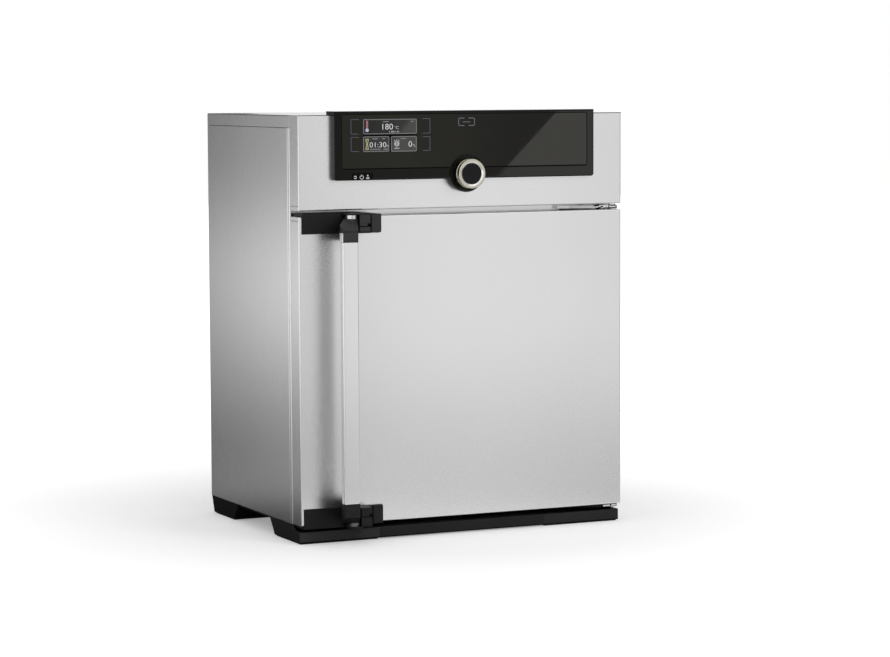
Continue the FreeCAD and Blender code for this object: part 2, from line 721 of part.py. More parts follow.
def flap_actuator():
    """Small geared motor that sits on the duct with a saddle and turns the shaft."""
    y = flap_y()
    left = actuator_left()
    body = box(left, left + 8 + ACTUATOR_W, y - ACTUATOR_D / 2, y + ACTUATOR_D / 2,
               DUCT_Z - ACTUATOR_H / 2, DUCT_Z + ACTUATOR_H / 2)
    body = rounded(body, 4.0, V(1, 0, 0))
    saddle = rod_y(DUCT_X, DUCT_Z, DUCT_R + SEAT, y - ACTUATOR_D, y + ACTUATOR_D)
    socket = rod_x(y, DUCT_Z, SHAFT_R + FIT, left, DUCT_X + DUCT_R + 15)
    return cut(body, saddle, socket)


def mains_inlet():
    """Appliance inlet with its flange, recess and three contact blades."""
    half_w = INLET_W / 2
    half_h = INLET_H / 2
    body_w = half_w - 10 - SEAT
    body_h = half_h - 2 - SEAT
    flange = box(INLET_X - half_w, INLET_X + half_w, BACK, BACK + 2.5, INLET_Z - half_h, INLET_Z + half_h)
    flange = rounded(flange, 5.0, V(0, 1, 0))
    body = box(INLET_X - body_w, INLET_X + body_w, BACK - INLET_D, BACK, INLET_Z - body_h, INLET_Z + body_h)
    body = rounded(body, 3.0, V(0, 1, 0))
    recess = box(INLET_X - body_w + 2, INLET_X + body_w - 2, BACK - 14, BACK + 4,
                 INLET_Z - body_h + 2, INLET_Z + body_h - 2)
    blades = [box(INLET_X + x - 1, INLET_X + x + 1, BACK - 15, BACK - 1, INLET_Z + z - 2, INLET_Z + z + 2)
              for x, z in ((-7, -1), (0, 3), (7, -1))]
    return fuse(cut(fuse(flange, body), recess), *blades)


def power_board():
    """Circuit board on standoffs with a transformer, relays, a finned heat sink and two sockets."""
    z = PARTITION_Z + BOARD_STAND
    left, right = POWER_BOARD_LEFT, POWER_BOARD_RIGHT
    front, rear = POWER_BOARD_FRONT, POWER_BOARD_FRONT + POWER_BOARD_D
    board = box(left, right, front, rear, z, z + BOARD_T)
    pieces = [rod_z(x, y, POST_R, PARTITION_Z, z)
              for x in (left + POST_IN, right - POST_IN) for y in (front + POST_IN, rear - POST_REAR_IN)]
    top = z + BOARD_T
    core_x = left + TRANSFORMER_IN
    core_y = front + TRANSFORMER_SET_BACK
    pieces.append(box(core_x, core_x + TRANSFORMER_W, core_y, core_y + TRANSFORMER_D, top, top + TRANSFORMER_H))
    relay_rear = rear - RELAY_REAR_IN
    pieces += [box(x, x + RELAY_W, relay_rear - RELAY_D, relay_rear, top, top + RELAY_H)
               for x in (core_x, core_x + RELAY_PITCH, core_x + 2 * RELAY_PITCH)]
    pieces += [box(x - PLUG_W / 2, x + PLUG_W / 2, y - PLUG_D / 2, y + PLUG_D / 2, top, top + SOCKET_H)
               for x, y in ((LOOM_X, front + PLUG_SET_BACK), (right - POST_IN, rear - POST_IN))]
    sink_x = right - SINK_IN - SINK_W
    sink_y = front + SINK_SET_BACK
    sink = box(sink_x, sink_x + SINK_W, sink_y, sink_y + SINK_D, top, top + SINK_T)
    fins = [box(x, x + FIN_T, sink_y, sink_y + SINK_D, top + SINK_T, top + SINK_T + FIN_H)
            for x in (sink_x + step * FIN_PITCH for step in range(int(SINK_W / FIN_PITCH)))]
    return fuse(board, sink, *pieces, *fins)


def wiring_loom():
    """Two bundles of wires: control board to power board, and mains inlet to power board."""
    socket = PARTITION_Z + BOARD_STAND + BOARD_T + SOCKET_H
    front = BOARD_Y + BOARD_T + SOCKET_H / 2
    plug_y = POWER_BOARD_FRONT + PLUG_SET_BACK
    rear = POWER_BOARD_FRONT + POWER_BOARD_D - POST_IN
    plug_x = POWER_BOARD_RIGHT - POST_IN
    control = [V(LOOM_X, front, CONTROL_SOCKET_Z), V(LOOM_X, front, LOOM_HOLE_Z),
               V(LOOM_X, plug_y, LOOM_HOLE_Z), V(LOOM_X, plug_y, socket)]
    mains = [V(INLET_X, BACK - INLET_D, INLET_Z), V(INLET_X, rear, INLET_Z),
             V(plug_x, rear, INLET_Z), V(plug_x, rear, socket)]
    return Part.makeCompound([bent_rod(points, LOOM_R, LOOM_BEND) for points in (control, mains)])


def foot_profile(points, x0, x1):
    """A foot outline, whose second to fourth points are joined by one arc, drawn out along X."""
    corners = [V(x0, y, z) for y, z in points]
    edges = [Part.LineSegment(corners[0], corners[1]).toShape()]
    edges.append(Part.Arc(corners[1], corners[2], corners[3]).toShape())
    for start, end in zip(corners[3:], corners[4:] + corners[:1]):
        edges.append(Part.LineSegment(start, end).toShape())
    return Part.Face(Part.Wire(edges)).extrude(V(x1 - x0, 0, 0))


def foot_front_left():
    """Moulded front foot: low front shelf, high rear part and a skirt beside the base tray."""
    x0 = -SIDE + FOOT_INSET
    x1 = x0 + FOOT_W
    front = FACE + PLINTH_SET_BACK
    rear = front + FRONT_FOOT_L
    step = FRAME_BACK + SEAT
    body = outline_yz([(front, PAD_T), (front, PLINTH_TOP), (step, PLINTH_TOP), (step, BASE_Z),
                       (rear + FOOT_SLANT, BASE_Z), (rear, PAD_T)], x0, x1)
    body = rounded(body, 1.5, V(1, 0, 0), lambda middle: middle.y < front + SKIN and middle.z > PAD_T + SKIN)
    skirt = foot_profile([(front, PAD_T), (front + 6, PLINTH_TOP), (FRAME_Y - 8, PLINTH_TOP + 2.4),
                          (FRAME_Y - 1, SKIRT_TOP), (rear + FOOT_SLANT + 3, SKIRT_TOP), (rear, PAD_T)],
                         x0, x0 + SKIRT_T)
    skirt = skirt.common(box(x0, x1, front + 4, BACK, PLINTH_TOP - 4, BODY_TOP))
    return hollow_foot(fuse(body, skirt), front, rear, x0, x1, PLINTH_TOP)


def foot_rear_left():
    """Moulded rear foot, slanted at both ends."""
    x0 = -SIDE + FOOT_INSET
    x1 = x0 + FOOT_W
    rear = BACK - REAR_FOOT_FROM_BACK
    front = rear - REAR_FOOT_L
    body = outline_yz([(front, PAD_T), (front - FOOT_SLANT, BASE_Z), (rear + REAR_FOOT_SLANT, BASE_Z),
                       (rear, PAD_T)], x0, x1)
    rise = (SKIRT_TOP - PAD_T) / (BASE_Z - PAD_T)
    skirt = outline_yz([(front, PAD_T), (front - FOOT_SLANT * rise, SKIRT_TOP),
                        (rear + REAR_FOOT_SLANT * rise, SKIRT_TOP), (rear, PAD_T)], x0, x0 + SKIRT_T)
    return hollow_foot(fuse(body, skirt), front, rear, x0, x1, BASE_Z)


def hollow_foot(solid, front, rear, x0, x1, top):
    """A foot with its underside cored out in two cells round a middle web."""
    wall = FOOT_WALL
    middle = (x0 + x1) / 2
    cells = [box(a + wall, b - wall, front + wall, rear - wall, PAD_T - wall, top - wall)
             for a, b in ((x0, middle + wall / 2), (middle - wall / 2, x1))]
    return cut(solid, *cells)


def foot_pads():
    """Four flat rubber pads under the feet."""
    pads = []
    left = -SIDE + FOOT_INSET + PAD_INSET
    width = FOOT_W - 2 * PAD_INSET
    front_y = FACE + PLINTH_SET_BACK + PAD_INSET
    rear_y = BACK - REAR_FOOT_FROM_BACK - REAR_FOOT_L + PAD_INSET
    for y, length in ((front_y, FRONT_FOOT_L), (rear_y, REAR_FOOT_L)):
        pad = box(left, left + width, y, y + length - 2 * PAD_INSET, 0, PAD_T)
        pad = rounded(pad, 3.0, UP)
        pads += [pad, mirrored_right(pad)]
    return Part.makeCompound(pads)


def plinth_strip():
    """Angle strip between the front feet, with end tabs."""
    x = SIDE - FOOT_INSET - FOOT_W - SEAT
    front = FACE + PLINTH_SET_BACK
    outer = box(-x, x, front, FRAME_BACK, PAD_T, PLINTH_TOP)
    outer = rounded(outer, 1.5, V(1, 0, 0), lambda middle: middle.y < front + SKIN and middle.z > PAD_T + SKIN)
    hollow = box(-x + PLINTH_WALL, x - PLINTH_WALL, front + PLINTH_WALL, BACK, 0, PLINTH_TOP - PLINTH_WALL)
    return cut(outer, hollow)


def hinge_bracket_top():
    """Flat arm from the frame to the upper hinge pin, with a bent tab on the frame."""
    z0 = DOOR_TOP + HINGE_FLANGE_T + GAP
    return hinge_arm(z0, z0 + HINGE_PLATE_T)


def hinge_arm(z0, z1):
    """A hinge arm: straight at the frame, cut back at its inner end and round at the pin."""
    right = HINGE_X + HINGE_FLANGE_R - SEAT
    root = SIDE - FOOT_INSET - SKIRT_T - 2 * SEAT
    left = right - HINGE_PLATE_L
    front = FACE + HINGE_PLATE_FRONT
    arm = outline_xy([(left, FRAME_Y), (left, FRAME_Y - 10), (left + 20, FRAME_Y - 14), (right - 40, front),
                      (right, front), (right, HINGE_Y + HINGE_FLANGE_R), (root, HINGE_Y + HINGE_FLANGE_R + 3),
                      (root, FRAME_Y)], z0, z1)
    arm = rounded(arm, 6.0, UP, lambda middle: middle.y < front + SKIN)
    bore = rod_z(HINGE_X, HINGE_Y, HINGE_PIN_R, z0 - SHEET, z1 + SHEET)
    return cut(arm, bore)


def hinge_bracket_bottom():
    """Flat arm from the frame to the lower hinge pin."""
    z1 = DOOR_BOTTOM - HINGE_FLANGE_T + SKIN - GAP
    return hinge_arm(z1 - HINGE_PLATE_T, z1)


def hinge_pin_top():
    """Headed pin that hangs from the upper arm into the door."""
    z0 = DOOR_TOP + HINGE_FLANGE_T + GAP
    top = z0 + HINGE_PLATE_T
    pin = rod_z(HINGE_X, HINGE_Y, HINGE_PIN_R, DOOR_TOP - HINGE_PIN_IN, top)
    return fuse(pin, rod_z(HINGE_X, HINGE_Y, HINGE_PIN_R + 2, top, top + 1.5))


def hinge_pin_bottom():
    """Headed pin that stands on the lower arm and reaches into the door."""
    z1 = DOOR_BOTTOM - HINGE_FLANGE_T + SKIN - GAP
    bottom = z1 - HINGE_PLATE_T
    pin = rod_z(HINGE_X, HINGE_Y, HINGE_PIN_R, bottom, DOOR_BOTTOM + HINGE_PIN_IN)
    return fuse(pin, rod_z(HINGE_X, HINGE_Y, HINGE_PIN_R + 2, bottom - 1.5, bottom))


def hinge_bush(z0, z1, flange_z0, flange_z1):
    """Plain bush with a flange, running on a hinge pin."""
    sleeve = rod_z(HINGE_X, HINGE_Y, HINGE_BUSH_R, z0, z1)
    flange = rod_z(HINGE_X, HINGE_Y, HINGE_FLANGE_R, flange_z0, flange_z1)
    bore = rod_z(HINGE_X, HINGE_Y, HINGE_PIN_R + FIT, z0 - SHEET - HINGE_FLANGE_T, z1 + SHEET + HINGE_FLANGE_T)
    return cut(fuse(sleeve, flange), bore)


def hinge_bush_top():
    """Bush in the door's top edge."""
    return hinge_bush(DOOR_TOP - HINGE_PIN_IN - 2, DOOR_TOP, DOOR_TOP, DOOR_TOP + HINGE_FLANGE_T)


def hinge_bush_bottom():
    """Bush in the door's bottom edge; its flange carries the door's weight."""
    flange_z0 = DOOR_BOTTOM - HINGE_FLANGE_T + SKIN
    return hinge_bush(DOOR_BOTTOM, DOOR_BOTTOM + HINGE_PIN_IN + 2, flange_z0, DOOR_BOTTOM)


def latch_notch(spare):
    """Space that the upper latch housing takes at the door's corner."""
    return box(LATCH_LEFT - spare, LATCH_RIGHT + spare, FACE - LUG_PROUD, FRAME_Y, LATCH_BOTTOM - spare, HEADER_BOTTOM)


def door_outer_panel():
    """Folded outer door tray with two latch notches and two hinge holes."""
    tray = rear_open_tray(SIDE, FACE, FACE + DOOR_T, DOOR_BOTTOM, DOOR_TOP, SKIN)
    notch = latch_notch(SEAT)
    holes = [rod_z(HINGE_X, HINGE_Y, HINGE_BUSH_R + FIT, z - 2 * SKIN, z + 2 * SKIN) for z in (DOOR_BOTTOM, DOOR_TOP)]
    return cut(tray, notch, mirrored_down(notch), *holes, *fold_line(DOOR_TOP - FOLD_TAB))


def door_inner_panel():
    """Pressed inner panel: flat rim inside the tray and a stepped plug that enters the chamber."""
    x = SIDE - SKIN - FIT
    z0 = DOOR_BOTTOM + SKIN + FIT
    z1 = DOOR_TOP - SKIN - FIT
    rear = FACE + DOOR_T
    plug_rear = FRAME_Y + PLUG_IN
    px = CHAMBER_X - PLUG_SIDE_GAP
    pz0 = CHAMBER_Z + PLUG_SIDE_GAP
    pz1 = CHAMBER_TOP - PLUG_SIDE_GAP
    step = PLUG_STEP
    rim = box(-x, x, rear - SKIN, rear, z0, z1)
    plug = rounded(box(-px, px, rear - SKIN, plug_rear, pz0, pz1), PLUG_R, V(0, 1, 0))
    crown = rounded(box(-px + step, px - step, plug_rear, plug_rear + PLUG_STEP_IN, pz0 + step, pz1 - step),
                    PLUG_R, V(0, 1, 0))
    hollow = rounded(box(-px + SKIN, px - SKIN, rear - 2 * SKIN, plug_rear - SKIN, pz0 + SKIN, pz1 - SKIN),
                     PLUG_R - SKIN, V(0, 1, 0))
    crown_hollow = rounded(box(-px + step + SKIN, px - step - SKIN, plug_rear - 2 * SKIN,
                               plug_rear + PLUG_STEP_IN - SKIN, pz0 + step + SKIN, pz1 - step - SKIN),
                           PLUG_R - SKIN, V(0, 1, 0))
    notch = latch_notch(SEAT)
    return cut(fuse(rim, plug, crown), hollow, crown_hollow, notch, mirrored_down(notch))


def door_insulation():
    """Wool slab inside the door, between the latch housings."""
    x = SIDE - SKIN - FIT
    top = LATCH_BOTTOM - 2 * SEAT
    return box(-x, x, FACE + SKIN, FACE + DOOR_T - SKIN, 2 * LATCH_MID_Z - top, top)


def door_seal():
    """Gasket frame on the inner panel, round the plug, with a rounded rear lip."""
    x = CHAMBER_X + SEAL_OUT
    z0 = CHAMBER_Z - SEAL_OUT
    z1 = CHAMBER_TOP + SEAL_OUT
    y0 = FACE + DOOR_T
    y1 = FRAME_Y - GAP
    w = SEAL_W
    outer = rounded(box(-x, x, y0, y1, z0, z1), w, V(0, 1, 0))
    inner = rounded(box(-x + w, x - w, y0 - w, y1 + w, z0 + w, z1 - w), SEAL_OUT, V(0, 1, 0))
    ring = cut(outer, inner)
    return ring.makeChamfer(SEAL_LIP, rim_at(ring, y1))


def lever_slot():
    """Fan-shaped room for the upper lever as it swings."""
    half = LEVER_HEAD_R + 0.8
    spread = math.tan(math.radians(LATCH_SWING))
    rear = FACE + DOOR_T - PIVOT_Y + SLIT
    points = [(-half, -1.4 * half), (half, -1.4 * half), (half, 0), (half + spread * rear, rear), (-half, rear)]
    outline = [(PIVOT_X + x, PIVOT_Y + y) for x, y in points]
    return outline_xy(outline, LEVER_Z - GAP, LEVER_Z + LEVER_T + GAP + 0.1)


def latch_housing():
    """Upper moulded housing: corner block, lug, end block and the arm over the pivot."""
    rear = FACE + DOOR_T
    plate_z = LEVER_Z + LEVER_T + GAP + 0.1
    top = plate_z + LATCH_PLATE_T
    corner = box(LATCH_LEFT, LATCH_RIGHT, FACE - LATCH_PROUD, rear, LATCH_BOTTOM, plate_z)
    end = box(LUG_RIGHT, LATCH_RIGHT, FACE - BLOCK_PROUD, rear, LATCH_BOTTOM, plate_z)
    end = rounded(end, 3.0, V(0, 1, 0), lambda middle: middle.x > LATCH_RIGHT - SKIN and middle.z < LATCH_BOTTOM + SKIN)
    lug = box(LUG_LEFT, LUG_RIGHT, FACE - LUG_PROUD, rear, LATCH_BOTTOM, top)
    lug = rounded(lug, 2.5, V(1, 0, 0), lambda middle: middle.y < FACE - LUG_PROUD + SKIN)
    plate = box(LATCH_LEFT, LUG_RIGHT, FACE - LATCH_PROUD, rear, plate_z, top)
    arm = box(PIVOT_X, LUG_LEFT + SKIN, PIVOT_Y - ARM_R, FACE, plate_z, top)
    arm_end = rod_z(PIVOT_X, PIVOT_Y, ARM_R, plate_z, top)
    arm_root = box(PIVOT_X - ARM_R, PIVOT_X, PIVOT_Y, FACE, plate_z, top)
    bore = rod_z(PIVOT_X, PIVOT_Y, PIN_R + FIT, plate_z - SHEET, top + SHEET)
    shelf_cut = box(LUG_RIGHT - 5, LUG_RIGHT, FACE - LUG_PROUD - SKIN, FACE - BLOCK_PROUD - 4, LATCH_BOTTOM + 11, LATCH_BOTTOM + 16)
    return cut(fuse(corner, end, lug, plate, arm, arm_end, arm_root), lever_slot(), bore, shelf_cut)


def latch_lever():
    """Upper steel lever: round head on the pivot, straight shank and a hook at its tip."""
    half = LEVER_W / 2
    z0 = LEVER_Z
    z1 = LEVER_Z + LEVER_T
    head = rod_z(PIVOT_X, PIVOT_Y, LEVER_HEAD_R, z0, z1)
    hook_y = LEVER_L - HOOK_T
    points = [(-half, 0), (half, 0), (half, LEVER_L - 3), (half - 3, LEVER_L), (-HOOK_REACH + 4, LEVER_L),
              (-HOOK_REACH, hook_y + 2), (-HOOK_REACH, hook_y), (-half, hook_y)]
    shank = outline_xy([(PIVOT_X + x, PIVOT_Y + y) for x, y in points], z0, z1)
    bore = rod_z(PIVOT_X, PIVOT_Y, PIN_R, z0 - SHEET, z1 + SHEET)
    return cut(fuse(head, shank), bore)


def handle_pin():
    """Upper pivot pin, from the cap through the lever and the arm of the housing."""
    bottom = BAR_TOP + TENON_L
    top = LEVER_Z + LEVER_T + GAP + 0.1 + LATCH_PLATE_T
    return rod_z(PIVOT_X, PIVOT_Y, PIN_R, bottom, top)


def handle_bar():
    """Hollow extruded grip."""
    front = FACE - HANDLE_PROUD
    bottom = 2 * LATCH_MID_Z - BAR_TOP
    outer = rounded(box(BAR_LEFT, BAR_LEFT + BAR_W, front, front + BAR_T, bottom, BAR_TOP), BAR_R, UP)
    inner = box(BAR_LEFT + BAR_WALL, BAR_LEFT + BAR_W - BAR_WALL, front + BAR_WALL, front + BAR_T - BAR_WALL,
                bottom - SKIN, BAR_TOP + SKIN)
    return cut(outer, inner)


def handle_cap():
    """Upper moulded cap: from the grip it sweeps back to the pivot, under a slanted top."""
    front = FACE - HANDLE_PROUD
    right = BAR_LEFT + BAR_W
    radius = CAP_KNUCKLE_R
    z0 = BAR_TOP
    z1 = LEVER_Z - GAP
    a = V(BAR_LEFT, front, z0)
    b = V(right, front, z0)
    c = V(PIVOT_X + radius, PIVOT_Y, z0)
    rear = V(PIVOT_X, PIVOT_Y + radius, z0)
    d = V(PIVOT_X - radius, PIVOT_Y, z0)
    e = V(BAR_LEFT, front + BAR_T, z0)
    edges = [Part.LineSegment(a, b).toShape(), Part.LineSegment(b, c).toShape(), Part.Arc(c, rear, d).toShape(),
             Part.LineSegment(d, e).toShape(), Part.LineSegment(e, a).toShape()]
    body = Part.Face(Part.Wire(edges)).extrude(V(0, 0, z1 - z0))
    body = rounded(body, BAR_R, UP, lambda middle: middle.y < front + SKIN)
    knuckle_front = PIVOT_Y - radius
    slant = outline_yz([(front - SKIN, CAP_FRONT_TOP), (knuckle_front, z1), (knuckle_front, z1 + BAR_W),
                        (front - SKIN, z1 + BAR_W)], BAR_LEFT - BAR_W, right + BAR_W)
    spare = BAR_WALL + SEAT
    tenon = box(BAR_LEFT + spare, right - spare, front + spare, front + BAR_T - spare, z0 - TENON_L, z0)
    bore = rod_z(PIVOT_X, PIVOT_Y, PIN_R, z0 + TENON_L, z1 + SHEET)
    return cut(fuse(body, tenon), slant, bore)


def control_housing():
    """Moulded front housing: window for the glass, knob boss with its well, top lip, hollow behind."""
    x = HOUSING_W / 2
    front = FACE - HOUSING_PROUD
    wall = HOUSING_WALL
    y_axis = V(0, 1, 0)
    main = box(-x, x, front, FACE, HOUSING_BOTTOM, HOUSING_TOP)
    main = rounded(main, HOUSING_R, y_axis, lambda middle: middle.z < HOUSING_BOTTOM + SKIN)
    lip = box(-x, x, front, FACE + HOUSING_LIP, BODY_TOP, HOUSING_TOP)
    boss = rod_y(0, KNOB_Z, BOSS_R, front, FACE)
    solid = face_rounded(fuse(main, lip, boss), HOUSING_EDGE_R, front)
    hollow = box(-x + wall, x - wall, front + wall, FACE + SKIN, HOUSING_BOTTOM + wall, BODY_TOP - wall)
    hollow = cut(hollow, rod_y(0, KNOB_Z, BOSS_R - SKIN, front, FACE + 2 * SKIN))
    recess = glass_outline(GLASS_GAP, front - HOUSING_EDGE_R, front + GLASS_T + SEAT, BOSS_R)
    window = box(GLASS_LEFT + GLASS_LEDGE, GLASS_RIGHT - GLASS_LEDGE, front - SKIN, FACE + SKIN,
                 GLASS_BOTTOM + GLASS_LEDGE, BODY_TOP - wall - SEAT)
    window = cut(window, rod_y(0, KNOB_Z, BOSS_R + GLASS_LEDGE, front - 2 * SKIN, FACE + 2 * SKIN))
    well = rod_y(0, KNOB_Z, KNOB_WELL_R, front - HOUSING_EDGE_R, front + KNOB_WELL_DEPTH)
    bore = rod_y(0, KNOB_Z, BUSH_R + FIT, front - SKIN, FACE + SKIN)
    boss_core = cut(rod_y(0, KNOB_Z, BOSS_R - wall, front + KNOB_WELL_DEPTH + wall, FACE + SKIN),
                    rod_y(0, KNOB_Z, BUSH_R + wall, front, FACE + 2 * SKIN))
    button_hole = power_block(GAP, front - SKIN, front + wall + POWER_TRAVEL + 2 * GAP)
    return cut(solid, hollow, recess, window, well, bore, boss_core, button_hole)


def glass_outline(spare, y0, y1, boss_r):
    """Outline of the glass, drawn out along Y, with the bite for the knob boss."""
    plate = box(GLASS_LEFT - spare, GLASS_RIGHT + spare, y0, y1, GLASS_BOTTOM - spare, GLASS_TOP + spare)
    plate = rounded(plate, GLASS_R + spare, V(0, 1, 0))
    return cut(plate, rod_y(0, KNOB_Z, boss_r, y0 - SKIN, y1 + SKIN))


def control_glass():
    """Front glass, a little below the face of the housing."""
    front = FACE - HOUSING_PROUD
    return glass_outline(0, front + SEAT / 2, front + GLASS_T + SEAT / 2, BOSS_R + GLASS_GAP)


def display_module():
    """Display unit between the glass and the control board."""
    front = FACE - HOUSING_PROUD + GLASS_T + 2 * SEAT
    half_w = DISPLAY_W / 2
    half_h = DISPLAY_H / 2
    cell = box(DISPLAY_X - half_w, DISPLAY_X + half_w, front, front + 5, DISPLAY_Z - half_h, DISPLAY_Z + half_h)
    carrier = box(DISPLAY_X - half_w + 5, DISPLAY_X + half_w - 5, front + 5, BOARD_Y, DISPLAY_Z - half_h + 5,
                  DISPLAY_Z + half_h - 5)
    return fuse(cell, carrier)


def control_board():
    """Board behind the header panel, on four standoffs, with its larger parts."""
    rear = BOARD_Y + BOARD_T
    board = box(BOARD_LEFT, BOARD_RIGHT, BOARD_Y, rear, BOARD_BOTTOM, BOARD_TOP)
    posts = [rod_y(x, z, BOARD_POST_R, FACE + SKIN, BOARD_Y)
             for x in (BOARD_LEFT + BOARD_POST_IN, BOARD_RIGHT - BOARD_POST_IN - 1)
             for z in (BOARD_BOTTOM + 10, BOARD_TOP - 5)]
    chips = [box(x, x + CHIP_W, rear, rear + 4, BOARD_BOTTOM + 60, BOARD_BOTTOM + 60 + CHIP_W)
             for x in (BOARD_LEFT + 35, BOARD_LEFT + 95, BOARD_LEFT + 175)]
    plug = box(LOOM_X - 9, LOOM_X + 9, rear, rear + SOCKET_H, CONTROL_SOCKET_Z, CONTROL_SOCKET_Z + 12)
    return fuse(board, *posts, *chips, plug)


def knob_encoder():
    """Rotary encoder on the board, with the plain bush that the knob runs on."""
    back = FACE + SKIN + SEAT / 2
    front = FACE - KNOB_PROUD + 11
    body = box(-13, 13, back, BOARD_Y, KNOB_Z - 13, KNOB_Z + 13)
    bush = rod_y(0, KNOB_Z, BUSH_R, front, back)
    bore = rod_y(0, KNOB_Z, CONFIRM_STEM_R + FIT, front - SKIN, FACE + 6)
    return cut(fuse(body, bush), bore)


def turned(points):
    """A turned piece on the knob's axis from a profile of radii and places along Y."""
    corners = [V(radius, y, KNOB_Z) for radius, y in points]
    face = Part.Face(Part.makePolygon(corners + corners[:1]))
    return face.revolve(V(0, 0, KNOB_Z), V(0, 1, 0), 360)


def knob_ring():
    """Turned ring with a stepped grip, a bevelled mouth and a hub on the encoder bush."""
    front = FACE - KNOB_PROUD
    rear = FACE - HOUSING_PROUD + KNOB_FLOOR
    mouth = CONFIRM_R + GAP
    grip = KNOB_R - KNOB_STEP
    web = front + 10.5
    skirt = KNOB_R - KNOB_WALL
    points = [(mouth, front + 1.6), (mouth + 2.7, front), (grip, front), (KNOB_R, front + KNOB_STEP),
              (KNOB_R, front + 5.5), (grip, front + 6), (grip, front + 9.5), (KNOB_R, front + 10),
              (KNOB_R, front + 14), (grip, front + 14.5), (grip, rear), (skirt, rear),
              (skirt, web + KNOB_WALL), (KNOB_HUB_R, web + KNOB_WALL), (KNOB_HUB_R, rear),
              (BUSH_R + FIT, rear), (BUSH_R + FIT, web), (mouth, web)]
    return turned(points)


def confirm_button():
    """Dished disc inside the ring, on a stem that runs in the encoder bush."""
    front = FACE - KNOB_PROUD + CONFIRM_SUNK
    lip = CONFIRM_R - 1.5
    rear = front + CONFIRM_T
    points = [(0, front + 0.7), (lip, front), (CONFIRM_R - 0.5, front), (CONFIRM_R, front + 0.5),
              (CONFIRM_R, rear), (CONFIRM_STEM_R, rear), (CONFIRM_STEM_R, FACE + 3), (0, FACE + 3)]
    return turned(points)


def power_block(spare, y0, y1):
    """The power button's outline, drawn out along Y."""
    half_w = POWER_W / 2 + spare
    half_h = POWER_H / 2 + spare
    block = box(POWER_X - half_w, POWER_X + half_w, y0, y1, POWER_Z - half_h, POWER_Z + half_h)
    return rounded(block, 1.0 + spare, V(0, 1, 0))


def power_button():
    """Key with a keeper behind the housing wall and a stem to the switch."""
    front = FACE - HOUSING_PROUD
    inside = front + HOUSING_WALL + GAP
    cap = power_block(0, front + POWER_SUNK, inside)
    keeper = box(POWER_X - POWER_W / 2 - POWER_LIP, POWER_X + POWER_W / 2 + POWER_LIP, inside, inside + 1.5,
                 POWER_Z - 2.5, POWER_Z + POWER_H / 2 + POWER_LIP)
    stem = rod_y(POWER_X, POWER_Z, POWER_STEM_R, inside + 1.5, FACE + 0.5)
    return fuse(cap, keeper, stem)


def power_switch():
    """Push switch on the board behind the power button."""
    front = FACE + 0.5 + POWER_TRAVEL + GAP
    body = box(POWER_X - 6, POWER_X + 6, front + 1, BOARD_Y, POWER_Z - 6, POWER_Z + 6)
    return fuse(body, rod_y(POWER_X, POWER_Z, POWER_STEM_R, front, front + 1))


def grid_shelf():
    """Welded wire grid: a rail round the edge, two bearers across it and a row of wires."""
    x = GRID_W / 2 - GRID_RAIL_R
    front = FRAME_BACK + GRID_SET_BACK
    rear = front + GRID_D
    z = rib_height(GRID_RIB) + RIB_BASE_HALF + GAP + GRID_RAIL_R
    middle = (front + rear) / 2
    rail = bent_rod([V(0, front, z), V(x, front, z), V(x, rear, z), V(-x, rear, z), V(-x, front, z),
                     V(0, front, z)], GRID_RAIL_R, GRID_CORNER)
    bearers = [rod_x(middle + offset, z, GRID_BEARER_R, -x, x) for offset in (-38, 38)]
    wire_z = z + GRID_RISE
    pitch = 2 * (x - GRID_CORNER) / (GRID_WIRES - 1)
    wires = [rod_y(-x + GRID_CORNER + number * pitch, wire_z, GRID_WIRE_R, front, rear)
             for number in range(GRID_WIRES)]
    return fuse(rail, *bearers, *wires)


